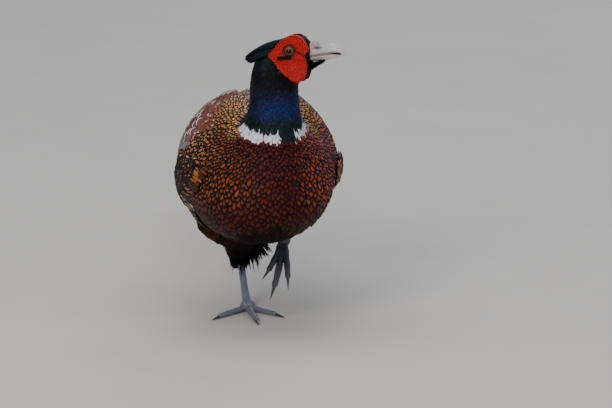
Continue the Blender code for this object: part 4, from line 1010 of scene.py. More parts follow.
# %% Lay both wings and the flanks
# Primaries and secondaries: number, the root and tip of the highest feather and of the lowest (each
# a place along the trunk and an angle round it), half width, lift of root and tip, and rusty tint
FLIGHT_TIERS = (
    (7, ((0.020, 2.0), (0.128, 17.0), (0.020, -12.0), (0.162, 10.0)), 0.0085, 0.0008, 0.0024, 0.0),
    (13, ((-0.002, 56.0), (0.096, 50.0), (0.018, -8.0), (0.134, 2.0)), 0.0120, 0.0024, 0.0044, 0.5))
COVERT_ROWS, FLANK_ROWS, FLANK_VANES = 7, 14, 34
wing_pieces = []
for side_name, sign in (("right", -1), ("left", 1)):
    layers = []
    for count, ends, wide, low, high, fade in FLIGHT_TIERS:
        root, tip = rows_of(count, *ends)
        place = np.linspace(1, 0, count)
        laid = lay_on_wing(root, tip, wide, (low, high + 0.0016 * place), sign, 6, 12, tilt=0.0012)
        draw = rng.random(count)
        ground = mixed("#6a5747", "#7d6a58", draw)
        ground = mixed(ground, "#8a5638", fade * step(0.5, 1.0, place))
        layers.append((laid, ground, mixed(ground, "#a78a68", 0.5), marks_of(draw, 0.12, 0.8)))
    flight = wing_piece("flight_feathers_" + side_name, layers, sign < 0, 6, 12, FLIGHT)
    apply_modifier(flight, "SOLIDIFY", thickness=0.0004, offset=0.0)
    layers = []
    for row in range(COVERT_ROWS):
        start = 0.054 - 0.0068 * row
        low_angle = np.interp(start, WING_FRONT, WING_LOW) + 9.0
        high_angle = np.interp(start, WING_FRONT, WING_HIGH)
        count = max(3, round((high_angle - low_angle) / 6.6))
        angles = low_angle + (np.arange(count) + 0.5 * (row % 2)) * (high_angle - low_angle) / (count - 0.5)
        jitter = rng.normal(0, 0.0006, count)
        root = np.stack([start + jitter, angles + rng.normal(0, 0.5, count)], -1)
        tip = root + np.array((0.020 + 0.008 * step(0.0, 0.05, start), -2.0))
        laid = lay_on_wing(root, tip, 0.0049 + 0.0020 * step(0.0, 0.05, start), (0.0026, 0.0050), sign, 4, 6)
        draw = rng.random(count)
        grey = step(26, 14, angles + 10 * draw - 5)
        ground = mixed("#7c4436", "#7a4a50", draw)
        ground = mixed(ground, mixed("#70768a", "#807c7c", draw), grey)
        edge = mixed("#4a2722", "#6a6460", grey)
        layers.append((laid, ground * (0.85 + 0.3 * draw)[:, None], edge,
                       marks_of(draw, 0.18, (1 - 0.9 * grey) * (draw > 0.50))))
    coverts = wing_piece("coat_wing_" + side_name, layers, sign < 0, 4, 6, SHOULDER)
    layers = []
    for row in range(FLANK_ROWS):
        off = -0.012 + 0.0056 * row
        count = FLANK_VANES
        angles = np.linspace(-56, 13 - 0.5 * row, count) + 1.0 * (row % 2) + rng.normal(0, 0.5, count)
        start = np.interp(angles, [-21.0, -16.0, -4.0, 12.0], [0.008, -0.020, -0.044, -0.054]) + off
        draw = rng.random(count)
        root = np.stack([start + rng.normal(0, 0.0012, count), angles], -1)
        tip = root + np.stack([0.014 + 0.004 * draw, 1.0 + rng.normal(0, 0.8, count)], -1)
        over = step(-36, -22, angles)
        low = 0.0012 + 0.0024 * over * step(-0.010, 0.004, off)
        high = 0.0036 + 0.0042 * over * step(-0.016, -0.002, off)
        laid = lay_on_wing(root, tip, 0.0025, (low, high), sign, 4, 6)
        ground, edge, marks = body_zones(laid[:, 0])[:3]
        pale = step(-0.050, -0.015, start) * step(-46, -22, angles) * 0.85
        ground = mixed(ground, mixed("#d3a06a", "#b5887a", draw), pale)
        ground = mixed(ground, "#2c130a", 0.85 * step(0.42, 0.62, draw) * step(-40, -28, angles))
        marks[:, 0] = 0.38 - 0.18 * step(-0.004, 0.006, off)
        marks[:, 1] = 0.0
        layers.append((laid, ground, mixed(edge, "#0b090b", 0.6), marks))
    flank = wing_piece("coat_flank_" + side_name, layers, sign < 0, 4, 6, COPPER)
    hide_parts("wing_" + side_name)
    wing_pieces += [flight, coverts, flank]
    print(side_name, "wing faces:", [len(piece.data.polygons) for piece in (flight, coverts, flank)])

# %% [markdown]
# ## The tail
# Eighteen long feathers, graded from the middle pair outwards, lie in layers with the middle
# pair on top. They are barred black on olive buff with a rusty edge, and the rump's hair-like
# coverts hide their roots. Each feather starts from one straight line along the tail's axis,
# fanned out a little more for every pair and bent down at its sides like a low roof.

# %% Lay the tail feathers
TAIL_LENGTH, TAIL_START = 0.440, 0.012
# The length of each pair as a share of the middle pair's
PAIR_SHARES = np.array([1.00, 0.90, 0.74, 0.59, 0.47, 0.38, 0.32, 0.28, 0.25])
pair = np.repeat(np.arange(len(PAIR_SHARES)), 2)
side = np.tile([1.0, -1.0], len(PAIR_SHARES))
length, half, slant, layer, start = columns(
    len(pair), TAIL_LENGTH * PAIR_SHARES[pair] - TAIL_START, 0.0130 - 0.0006 * pair,
    np.tan(side * np.radians(0.3 + 0.75 * pair)), 0.0068 - 0.00085 * (2 * pair + (side < 0)) * 0.9,
    side * (0.0012 + 0.0011 * pair))
u, v = vane_grid(6, 22)
axis = TAIL_START + length * v
sideways = start + slant * axis + half * (np.minimum(1.0, 0.42 + 2.4 * v) * (1 - 0.93 * v ** 2.4)) * u
laid = on_tail(axis, sideways, layer - sideways ** 2 / 0.26 - 0.0006 * (u ** 2))
draw = rng.random(len(pair))
ground = mixed(mixed("#8e7350", "#a0855c", draw), "#7d5a3c", step(2, 7, pair))
tail = feather_mesh("tail_feathers", laid, 6, 22, np.stack([0.5 + 0 * draw, 0.05 + 0.05 * pair], -1), ground,
                    mixed("#6f4436", "#5a3a34", draw), marks_of(draw, 0.10, 0.95), True)
tail.data.materials.append(RECTRIX)
apply_modifier(tail, "SOLIDIFY", thickness=0.0004, offset=0.0)
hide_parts("tail")
print("tail feathers:", len(pair))

# %% Cover the tail's root
# Rows above and below: height over the tail's axis, number, length, spread aside and start along it
RUMP_ROWS = ((0.0088, 9, 0.100, 0.016, 0.004), (0.0100, 8, 0.072, 0.015, -0.004),
             (0.0112, 8, 0.046, 0.014, -0.012), (-0.0115, 9, 0.080, -0.014, 0.002),
             (-0.0125, 8, 0.050, -0.013, -0.008))
u, v = vane_grid(4, 8)
half = 0.0048 * (np.minimum(1, 0.5 + 1.5 * v) * (1 - 0.9 * v ** 3))
layers = []
for level, count, reach, spread, start in RUMP_ROWS:
    spot = np.linspace(-1, 1, count)
    draw = rng.random(count)
    axis = start + reach * (1 - 0.25 * spot ** 2)[:, None] * v
    sideways = spread * spot[:, None] * (1 - 0.25 * v) + half * u * np.sign(level)
    up = level * (1 - 0.45 * v) - np.sign(level) * sideways ** 2 / 0.040
    ground = mixed("#8a6a50", "#857f86", draw) if level > 0 else mixed("#2a1f1a", "#4a3222", draw)
    layers.append((on_tail(axis, sideways, up), ground, ground * 0.6, marks_of(draw, 0.2, 0.3)))
rump = wing_piece("coat_rump", layers, True, 4, 8, BACK)
print("rump plumes:", sum(len(layer[1]) for layer in layers))

# %% [markdown]
# ## Forms without feathers
# Face, bill, eyes and legs are smooth forms with fine relief. Each starts as a grid of the
# right fineness and is moulded by a rule that says where every point of the grid goes, which is
# like pressing a sheet of clay round a form. The seam and the poles are then merged, so the
# result is one closed skin with a UV map that runs round and along it.


# %% Mould a grid round a form
def close_up():
    """Merges the active piece's seams and poles, turns its faces outwards and smooths its shading."""
    bpy.ops.object.mode_set(mode="EDIT")
    bpy.ops.mesh.select_all(action="SELECT")
    bpy.ops.mesh.remove_doubles(threshold=0.000004)
    bpy.ops.mesh.normals_make_consistent(inside=False)
    bpy.ops.object.mode_set(mode="OBJECT")
    bpy.ops.object.shade_smooth()


def moulded(name, around, along, rule):
    """A grid moulded by a rule from places round and along it, both 0 to 1, to points."""
    bpy.ops.object.select_all(action="DESELECT")
    bpy.ops.mesh.primitive_grid_add(x_subdivisions=around, y_subdivisions=along, size=2.0)
    piece = bpy.context.object
    piece.name = name
    flat = points_of(piece)
    move_points(piece, rule((flat[:, 0] + 1) / 2, (flat[:, 1] + 1) / 2))
    close_up()
    return piece


def open_part(t):
    """0 at both ends of a form, where its grid closes to a point, and 1 between them."""
    return np.where((t <= 0.0) | (t >= 1.0), 0.0, 1.0)


def store(piece, name, rule):
    """Keeps a value for each point of a moulded piece, for its material to read."""
    round_map = np.empty(len(piece.data.loops) * 2)
    piece.data.uv_layers.active.data.foreach_get("uv", round_map)
    corners = np.empty(len(piece.data.loops), np.int32)
    piece.data.loops.foreach_get("vertex_index", corners)
    grid = np.zeros((len(piece.data.vertices), 2))
    grid[corners] = round_map.reshape(-1, 2)
    layer = piece.data.attributes.new(name, "FLOAT", "POINT")
    layer.data.foreach_set("value", rule(grid[:, 0], grid[:, 1]).astype(np.float32))


def bumps_at(a, b, centres, radius):
    """The height of rounded grains over points of a plane, for grains at the given centres."""
    finder = KDTree(len(centres))
    for index, (x, y) in enumerate(centres):
        finder.insert((x, y, 0.0), index)
    finder.balance()
    near = np.array([finder.find((x, y, 0.0))[2] for x, y in zip(a, b)])
    return np.clip(1 - (near / radius) ** 2, 0, 1)


def grains(low, high, spacing):
    """Centres of grains over a rectangle, in staggered rows with a little disorder."""
    rows = np.arange(low[1], high[1], spacing * 0.87)
    out = []
    for index, row in enumerate(rows):
        line = np.arange(low[0], high[0], spacing) + (index % 2) * spacing / 2
        out.append(np.stack([line, row + 0 * line], -1))
    out = np.concatenate(out)
    return out + rng.normal(0, spacing * 0.13, out.shape)

# %% [markdown]
# ## The bare red face
# The cock's face is bare skin set with small round papillae, swollen at the rim and hanging in
# a lobe below the eye. It is moulded as a ring round the eye: the inner edge dips under the
# lids, and the outer one rolls down to the feathers. The grains are real relief, about 1.2 mm
# apart, and each point keeps its height as an attribute, so that the valleys between them and
# the face's fold get painted shade, a darker red. A strip of tiny black feathers runs under the eye.

# %% Mould the red face
EYE = (-0.0083, 0.0150, 0.0083)
FACE_START = 0.0052
FAR_ASIDE = 0.045
GRAIN_APART, WRINKLE_APART = 0.00125, 0.0031


def face_side(ahead, up, sign):
    """How far the feathered head's surface and the bare face lie from the head's middle."""
    plan = (0.0192 - 0.0055 * np.maximum((up + 0.002) / 0.027, 0.0) ** 2
            - 0.0040 * ((ahead + 0.006) / 0.024) ** 2)
    surface = np.zeros(len(ahead))
    for index, place in enumerate(on_head(ahead, sign * FAR_ASIDE + 0 * ahead, up)):
        distance = skin_tree.ray_cast(place, -sign * HEAD_SIDE)[3]
        surface[index] = 0.0 if distance is None else FAR_ASIDE - distance
    return np.maximum(plan, surface + 0.0006)


# %% Shape the face's relief
outline_turn = np.arctan2(FACE[:, 1] - EYE[2], FACE[:, 0] - EYE[0])
order = np.argsort(outline_turn)
outline_reach = np.hypot(FACE[:, 0] - EYE[0], FACE[:, 1] - EYE[2])[order]
outline_turn = outline_turn[order]
FACE_GRAINS = grains((-0.036, -0.026), (0.016, 0.030), GRAIN_APART)
print("grains on each face:", len(FACE_GRAINS))


def face_places(s, t):
    """Where on the face a point of the grid lies: its share outwards, its distance ahead and up."""
    turn = (s * 2 - 1) * math.pi
    spread = np.linspace(-0.08, 0.08, 5)
    reach = sum(np.interp(turn + d, outline_turn, outline_reach, period=FULL_TURN) for d in spread) / 5
    share = t ** 0.9
    wavy = 1.03 + 0.010 * np.sin(turn * 17) + 0.008 * np.sin(turn * 29 + 1)
    radius = FACE_START + (reach * wavy - FACE_START) * share
    return share, EYE[0] + radius * np.cos(turn), EYE[2] + radius * np.sin(turn), radius


def face_relief(s, t):
    """The face's relief in metres, and the part of it that its grains make, from 0 to 1, which also sets the
    painted shade in the valleys and the fold.
    """
    share, ahead, up, radius = face_places(s, t)
    lobe = step(-0.002, -0.014, up)
    rim = 0.0007 * np.exp(-((share - 0.90) / 0.06) ** 2)
    lid = 0.0006 * np.exp(-((radius - 0.0074) / 0.0006) ** 2)
    grain = bumps_at(ahead, up, FACE_GRAINS, 0.60 * GRAIN_APART) * step(0.08, 0.2, share)
    fold = np.exp(-(((ahead - 0.005) * 0.6 + (up - 0.0045)) / 0.0009) ** 2) * step(-0.007, 0.001, ahead)
    bent = up + 0.0030 * np.cos((ahead + 0.002) * 170) + 0.0009 * np.sin(ahead * 830 + up * 300)
    wrinkle = np.sin(bent * FULL_TURN / WRINKLE_APART + 1.6 * np.sin(ahead * 520))
    wrinkle *= lobe * (1 - step(0.70, 0.92, share))
    lift = (0.0012 + 0.0010 * lobe + rim + lid + 0.00080 * grain + 0.00010 * wrinkle - 0.0008 * fold
            - 0.0030 * step(0.955, 1.0, share) - 0.0022 * (1 - step(0.0, 0.035, share)))
    return lift, np.clip(0.95 * grain + 0.04 + 0.05 * wrinkle - 0.5 * fold, 0, 1)


def face_rule(sign):
    def rule(s, t):
        share, ahead, up, radius = face_places(s, t)
        return on_head(ahead, sign * (face_side(ahead, up, sign) + face_relief(s, t)[0]), up)
    return rule


# %% Make the red skin's material
# Bare skin full of blood: a deep red that glows a little, with moist grains
RED, tree, shader = finish("bare red papillose skin", Roughness=0.55, Subsurface_Weight=0.05,
                           Subsurface_Scale=0.0012, Specular_IOR_Level=0.30)
spot = node(tree, "TexCoord").outputs["Object"]
blotch = node(tree, "TexNoise", Vector=spot, Scale=300.0, Detail=4.0)
hue = node(tree, "Mix", RGBA, i0=blotch.outputs["Fac"], i6="#b00306", i7="#f01a10")
# Where the grain value is low, in the valleys between the grains and in the fold, the red is darkened:
# painted shade
height = node(tree, "Attribute", {"attribute_name": "grain"})
valley_shaded = node(tree, "Mix", RGBA, i0=height.outputs["Fac"], i6="#5a0204", i7=hue.outputs[2])
speck = node(tree, "TexVoronoi", Vector=spot, Scale=1700.0)
relief = node(tree, "Bump", Strength=0.4, Distance=0.0002, Height=speck.outputs["Distance"])
feed(tree, shader, Base_Color=valley_shaded.outputs[2], Normal=relief.outputs[0])
print("red skin's nodes:", len(tree.nodes))

# %% Mould both red faces and their black strips
faces, strips = [], []
STRIP_LOW, STRIP_HIGH = -0.0184, -0.0058
STRIP_VANES = 260
for side_name, sign in HEAD_SIDES:
    face = moulded("red_face_" + side_name, 300, 96, face_rule(sign))
    # Each point keeps how high it lies among the grains, which sets the painted shade in the valleys
    store(face, "grain", lambda s, t: face_relief(s, t)[1])
    face.data.materials.append(RED)
    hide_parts("wattle_" + side_name)
    faces.append(face)
    u, v = vane_grid(2, 3)
    ahead = rng.uniform(STRIP_LOW, STRIP_HIGH, STRIP_VANES)
    up = EYE[2] - 0.0073 + 0.11 * (ahead - STRIP_LOW) + rng.uniform(-0.0019, 0.0017, STRIP_VANES)
    x = ahead[:, None] - 0.0020 * v
    y = up[:, None] - 0.0003 * v + 0.00036 * (u * (1 - 0.5 * v))
    height = face_side(x.ravel(), y.ravel(), sign).reshape(x.shape) + 0.0019 + 0.0006 * v
    strip = feather_mesh("face_strip_" + side_name, on_head(x, sign * height, y), 2, 3,
                         np.stack([0.5 + ahead * 10, 0.5 + up * 10], -1), "#0a0d14", "#040506",
                         (0.2, 0.0, 1.0), sign > 0)
    strip.data.materials.append(HEAD)
    strips.append(strip)
print("red face triangles:", len(faces[0].data.polygons) * 2)

# %% [markdown]
# ## Eyes and lids
# A pheasant's eye is a glossy ball that fills its socket. The iris is orange brown with fine
# radial fibres and a darker rim, round a wide black pupil, and a clear cornea bulges over it.
# A sphere is turned so that its pole looks out of the head, which makes its latitude the
# distance from the middle of the pupil, and the front is pressed out a little. The lids are a
# thin fold of dark skin moulded round the opening.

# %% Make the eyes' materials
# A moist ball behind a clear cornea: a sharp highlight over a matt iris
EYEBALL, tree, shader = finish("moist eye", Roughness=0.30, Specular_IOR_Level=0.25, Coat_Weight=0.22,
                               Coat_Roughness=0.03)
place = node(tree, "SeparateXYZ", i0=node(tree, "UVMap", {"uv_map": "UVMap"}).outputs[0])
spoke = node(tree, "CombineXYZ", i0=place.outputs["X"], i1=0.0, i2=0.0)
fibre = node(tree, "TexNoise", Vector=spoke.outputs[0], Scale=90.0, Detail=2.0)
iris = node(tree, "Mix", RGBA, i0=fibre.outputs["Fac"], i6="#5c2a0e", i7="#a8581c")
# From the back of the ball to its front: dark, the iris with soft rims, and the black pupil
rings = node(tree, "ValToRGB", i0=place.outputs["Y"])
ramp = rings.color_ramp
ramp.elements[0].color = (0.004, 0.004, 0.004, 1)
ramp.elements[1].color = (0.0, 0.0, 0.0, 1)
for spot, value in ((0.715, 0.0), (0.735, 0.35), (0.76, 1.0), (0.845, 1.0), (0.853, 0.0)):
    ramp.elements.new(spot).color = (value, value, value, 1)
painted = node(tree, "Mix", {**RGBA, "blend_type": "MULTIPLY"}, i0=1.0, i6=iris.outputs[2],
               i7=rings.outputs[0])
feed(tree, shader, Base_Color=painted.outputs[2])
# Thin bare skin, nearly black, that frames the eye
LID = mottled("dark eyelid skin", "#0b0a0e", "#2b2629", 900.0, Roughness=0.55)
print("iris ramp stops:", len(ramp.elements))

# %% Set both eyes and their lids
EYE_RADIUS, CORNEA_RISE, LID_LEVEL = 0.0062, 0.00045, 0.0184
eyes, lids = [], []


def lid_rule(sign):
    def rule(s, t):
        turn, roll = s * FULL_TURN, t * FULL_TURN
        heavy = 0.00082 + 0.00030 * np.clip(np.sin(turn), 0, 1)
        radius = 0.00552 - 0.00025 * np.abs(np.sin(turn)) + heavy * np.cos(roll)
        corner = 0.0008 * np.exp(-(np.minimum(turn, FULL_TURN - turn) / 0.22) ** 2)
        ahead, up = (radius + corner) * np.cos(turn), radius * 0.97 * np.sin(turn)
        return on_head(EYE[0] + ahead, sign * (LID_LEVEL + heavy * 1.5 * np.sin(roll)), EYE[2] + up)
    return rule


for side_name, sign in HEAD_SIDES:
    bpy.ops.object.select_all(action="DESELECT")
    bpy.ops.mesh.primitive_uv_sphere_add(segments=64, ring_count=40, radius=EYE_RADIUS)
    eye = bpy.context.object
    eye.name = "eyeball_" + side_name
    ball = points_of(eye)
    ball[:, 2] += CORNEA_RISE * step(0.72, 0.95, ball[:, 2] / EYE_RADIUS)
    turned = ball[:, :1] * AHEAD * sign + ball[:, 1:2] * UPWARD + ball[:, 2:] * ASIDE * sign
    move_points(eye, turned + on_head(EYE[0], sign * EYE[1], EYE[2]))
    close_up()
    eye.data.materials.append(EYEBALL)
    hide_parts("eye_" + side_name)
    eyes.append(eye)
    lids.append(moulded("lids_" + side_name, 72, 16, lid_rule(sign)))
    lids[-1].data.materials.append(LID)
print("eyes:", len(eyes), "lids:", len(lids))

# %% [markdown]
# ## Bill
# The bill is a stout, arched cone of keratin, ivory with brown at its root and along the gape.
# The upper half overhangs the lower in a blunt hook, and a soft cover swells over each slit
# nostril. Both halves are moulded round their own stations, ridge, cutting edge and width. The
# growth lines run as fine streaks along them, and each point keeps how deep it lies in the
# nostril's slit, where the horn is coloured dark brown as painted shade.

# %% Mould the bill
# Stations ahead: ridge, cutting edge and half width of the upper bill
UPPER_BILL = smooth_rows(np.array([
    (0.0075, 0.0165, 0.0026, 0.0090), (0.0150, 0.0170, 0.0038, 0.0082), (0.0200, 0.0170, 0.0050, 0.0075),
    (0.0270, 0.0171, 0.0064, 0.0063), (0.0340, 0.0163, 0.0078, 0.0049), (0.0385, 0.0138, 0.0078, 0.0036),
    (0.0420, 0.0106, 0.0066, 0.0024), (0.0440, 0.0078, 0.0048, 0.0011), (0.0447, 0.0058, 0.0044, 0.0003)]))
LOWER_BILL = smooth_rows(np.array([
    (0.0075, 0.0024, -0.0036, 0.0078), (0.0130, 0.0032, -0.0018, 0.0071), (0.0200, 0.0043, -0.0010, 0.0063),
    (0.0270, 0.0052, -0.0002, 0.0054), (0.0330, 0.0054, 0.0012, 0.0044), (0.0380, 0.0052, 0.0024, 0.0031),
    (0.0410, 0.0050, 0.0034, 0.0014), (0.0418, 0.0046, 0.0040, 0.0003)]))
MOUTH_LINING = smooth_rows(np.array([
    (0.0085, 0.0062, 0.0004, 0.0066), (0.0200, 0.0080, 0.0022, 0.0052), (0.0330, 0.0102, 0.0036, 0.0036),
    (0.0390, 0.0092, 0.0040, 0.0024), (0.0415, 0.0074, 0.0044, 0.0008)]))


def bill_form(table, upper, s, t):
    """How far ahead, aside and up the bill's surface lies, and how deep in the nostril's slit."""
    ahead = table[0, 0] + (table[-1, 0] - table[0, 0]) * t
    ridge, edge, half = [np.interp(ahead, table[:, 0], table[:, column]) for column in (1, 2, 3)]
    if not upper:
        ridge, edge = edge, ridge
    turn = s * FULL_TURN
    c, sn = np.cos(turn), np.sin(turn)
    side = half * np.sign(c) * np.abs(c) ** 0.82
    up = edge + (ridge - edge) * np.where(sn > 0, sn, 0.10 * sn)
    slit = 0 * up
    if upper:
        cover = np.exp(-((ahead - 0.0158) / 0.0034) ** 2 - ((up - 0.0150) / 0.0030) ** 2)
        off_slit = up - 0.0112 - 0.18 * (ahead - 0.0180)
        slit = np.exp(-((ahead - 0.0180) / 0.0040) ** 2 - (off_slit / 0.0008) ** 2)
        side = side + np.sign(c) * (0.0024 * cover - 0.0022 * slit)
        up = up + 0.0024 * np.exp(-((ahead - 0.0158) / 0.0030) ** 2) * np.clip(sn, 0, 1) ** 2
        up = up - 0.0007 * np.exp(-((ahead - 0.0212) / 0.0022) ** 2) * np.clip(sn, 0, 1) ** 2
    return ahead, side, up, (ridge + edge) / 2, slit


def bill_rule(table, upper):
    def rule(s, t):
        ahead, side, up, middle, slit = bill_form(table, upper, s, t)
        closed = open_part(t)
        return on_head(ahead, side * closed, middle + (up - middle) * closed)
    return rule


# %% Make the bill's horn and the mouth's skin
# Grown keratin, worn smooth: satin, pale with grey streaks along it, brown at the cutting edge
HORN, tree, shader = finish("ivory bill keratin", Roughness=0.40, Coat_Weight=0.15, Coat_Roughness=0.3)
place = node(tree, "SeparateXYZ", i0=node(tree, "UVMap", {"uv_map": "UVMap"}).outputs[0])
around = node(tree, "Math", {"operation": "MULTIPLY"}, i0=place.outputs["X"], i1=34.0)
along = node(tree, "Math", {"operation": "MULTIPLY"}, i0=place.outputs["Y"], i1=5.0)
spot = node(tree, "CombineXYZ", i0=around.outputs[0], i1=along.outputs[0])
streak = node(tree, "TexNoise", Vector=spot.outputs[0], Scale=1.0, Detail=4.0)
shade = node(tree, "ValToRGB", i0=place.outputs["Y"])
stops = shade.color_ramp.elements
for spot, tint in ((0.0, "#8a7f78"), (0.12, "#cfc9be"), (0.30, "#c0bec0"), (1.0, "#ffffff")):
    stop = stops.new(spot) if 0 < spot < 1 else stops[-1 if spot else 0]
    stop.color = (*colour(tint), 1)
# The cutting edges lie at 0, a half and 1 round the bill: brown lines are drawn there
turn = node(tree, "Math", {"operation": "MULTIPLY"}, i0=place.outputs["X"], i1=FULL_TURN)
swing = node(tree, "Math", {"operation": "SINE"}, i0=turn.outputs[0])
off_edge = node(tree, "Math", {"operation": "ABSOLUTE"}, i0=swing.outputs[0])
near = node(tree, "Math", {"operation": "DIVIDE", "use_clamp": True}, i0=off_edge.outputs[0], i1=0.14)
browned = node(tree, "Mix", RGBA, i0=near.outputs[0], i6="#5c3d2c", i7=shade.outputs[0])
# The nostril's slit is coloured dark brown: painted shade in the recess under the cover
slit = node(tree, "Attribute", {"attribute_name": "slit"})
slit_shaded = node(tree, "Mix", RGBA, i0=slit.outputs["Fac"], i6=browned.outputs[2], i7="#4a2c1c")
dullness = node(tree, "Math", {"operation": "MULTIPLY"}, i0=streak.outputs["Fac"], i1=0.75)
dull = node(tree, "Mix", {**RGBA, "blend_type": "MULTIPLY"}, i0=dullness.outputs[0], i6=slit_shaded.outputs[2],
            i7="#80756b")
growth = node(tree, "Bump", Strength=0.30, Distance=0.0002, Height=streak.outputs["Fac"])
feed(tree, shader, Base_Color=dull.outputs[2], Normal=growth.outputs[0])
# Soft moist skin inside the mouth, coloured near black as painted shade, so that it shows as a dark line
# between the halves
LINING = mottled("mouth skin in painted shade", "#15161f", "#30221f", 500.0, Roughness=0.5)

# %% Mould both halves and the mouth
upper_bill = moulded("upper_bill", 96, 72, bill_rule(UPPER_BILL, True))
lower_bill = moulded("lower_bill", 64, 48, bill_rule(LOWER_BILL, False))
mouth = moulded("mouth_lining", 32, 24, bill_rule(MOUTH_LINING, False))
mouth.data.materials.append(LINING)
store(upper_bill, "slit", lambda s, t: bill_form(UPPER_BILL, True, s, t)[4])
for piece, solid in ((upper_bill, "bill_upper"), (lower_bill, "bill_lower")):
    piece.data.materials.append(HORN)
    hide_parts(solid)
print("bill triangles:", 2 * (len(upper_bill.data.polygons) + len(lower_bill.data.polygons)))

# %% [markdown]
# ## Ear tufts
# Behind each eye stands a tuft of long, narrow feathers, the cock's horns, which lie back along
# the head while it is calm. Every lock is a thin tapered vane from the same root, and the locks
# part towards their tips, so the tuft ends in a ragged brush.

# %% Lay the ear tufts
TUFT_ROOT = -0.0190
tufts = []
count = 72
u, v = vane_grid(2, 8)
for side_name, sign in HEAD_SIDES:
    pick = rng.random(count)
    layer = rng.random(count)
    root_up = 0.0056 + 0.0120 * pick
    tip_ahead = -0.0462 - 0.0050 * np.sin(math.pi * pick) - 0.0015 * rng.random(count)
    tip_up = -0.0048 + 0.0096 * pick + rng.normal(0, 0.0005, count)
    ahead = TUFT_ROOT + (tip_ahead - TUFT_ROOT)[:, None] * v
    up = root_up[:, None] + (tip_up - root_up)[:, None] * v ** 1.2 + 0.0017 * np.sin(math.pi * v)
    side = 0.0152 + (0.0008 + 0.0042 * layer)[:, None] * v ** 0.8
    half = 0.0013 * (np.minimum(1, 0.6 + v) * (1 - 0.75 * v ** 5))
    draw = rng.random(count)
    ground = mixed("#08262a", "#070f14", draw) * (0.6 + 0.6 * draw)[:, None]
    points = on_head(ahead, sign * (side - 0.0003 * u ** 2), up + half * u)
    unwrap = np.stack([0.5 + 0.3 * pick, 0.5 + 0.3 * layer], -1)
    tuft = feather_mesh("tuft_" + side_name, points, 2, 8, unwrap, ground, ground * 0.5, marks_of(draw, 0.2),
                        sign > 0)
    tuft.data.materials.append(HEAD)
    apply_modifier(tuft, "SOLIDIFY", thickness=0.0003, offset=0.0)
    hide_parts("ear_tuft_" + side_name)
    tufts.append(tuft)
print("locks in each tuft:", count)

# %% [markdown]
# ## Legs and feet
# The shank is covered in front by two rows of broad plates and elsewhere by small round scales,
# and each toe by a row of plates above and soft pads below. The plates are real relief: every
# one rises at its upper edge and slopes down to the next. The small scales are a cell pattern
# in the material, about 1.5 mm across. The standing toes are flattened where they meet the
# floor, because the bird's weight rests on them.

# %% Make the leg and claw materials
LEG_FINISHES = {}
# The lifted left foot hangs in the body's shade, so its copy of this material has darker colours: painted
# shade
for side_name, dark, pale in (("right", "#666c80", "#9a9fb6"), ("left", "#30313a", "#5c5d69")):
    # Horny scales over thin dark skin, grown and worn: satin, with dark seams that catch dust
    made, tree, shader = finish("scaled leg skin " + side_name, Roughness=0.48, Coat_Weight=0.10,
                                Coat_Roughness=0.35)
    spot = node(tree, "TexCoord").outputs["Object"]
    cells = node(tree, "TexVoronoi", {"feature": "DISTANCE_TO_EDGE"}, Vector=spot, Scale=640.0)
    clamped = {"operation": "DIVIDE", "use_clamp": True}
    seam = node(tree, "Math", clamped, i0=cells.outputs["Distance"], i1=0.12)
    mottle = node(tree, "TexNoise", Vector=spot, Scale=210.0, Detail=3.0)
    tone = node(tree, "Mix", RGBA, i0=mottle.outputs["Fac"], i6=dark, i7=pale)
    seamed = node(tree, "Mix", RGBA, i0=seam.outputs[0], i6="#3c3d48", i7=tone.outputs[2])
    bump = node(tree, "Bump", Strength=0.45, Distance=0.0003, Height=seam.outputs[0])
    feed(tree, shader, Base_Color=seamed.outputs[2], Normal=bump.outputs[0])
    LEG_FINISHES[side_name] = made
# Dark horn, polished by use at the points
CLAW = mottled("dark claw keratin", "#26231f", "#4f4840", 500.0, 3.0, Roughness=0.35, Coat_Weight=0.3,
               Coat_Roughness=0.2)
print("leg materials:", len(LEG_FINISHES) + 1)

# %% Shape the shanks and the toes
# The heel joint and the root of the toes
LEGS = {"right": ((-0.0085, 0.0860, 0.0510), (-0.0075, 0.045, 0.0)),
        "left": ((0.0350, 0.0720, 0.1060), (0.0240, 0.0150, 0.0780))}
# How far each toe turns out in degrees, its length, its claw's length and its half width
TOES = {"inner": (38.0, 0.0350, 0.0110, 0.0033), "middle": (-1.0, 0.0500, 0.0130, 0.0036),
        "outer": (-50.0, 0.0420, 0.0115, 0.0033), "hind": (168.0, 0.0150, 0.0080, 0.0026)}
# Where each lifted claw ends, and how far its toe bows
LIFTED = {"middle": ((0.0057, -0.0150, 0.0298), 0.0045), "inner": ((-0.0020, -0.0050, 0.0423), 0.0030),
          "outer": ((0.0220, -0.0180, 0.0380), 0.0040), "hind": ((0.0190, 0.0300, 0.0640), 0.0010)}
# The lifted toes hang slack and are this much thicker than the standing ones
SLACK_SHARE = 1.14
FRONT_PLATES, BACK_SCALES = 17, 26
TOE_TAPER, CLAW_START = 0.26, 0.0022


def unit(value):
    value = np.asarray(value, float)
    return value / np.linalg.norm(value)


def plates(t, count, rise):
    """The relief of overlapping plates: full height at each upper edge, sloping to nothing."""
    phase = (t * count) % 1.0
    return rise * (1 - phase) * step(0.0, 0.12, phase)


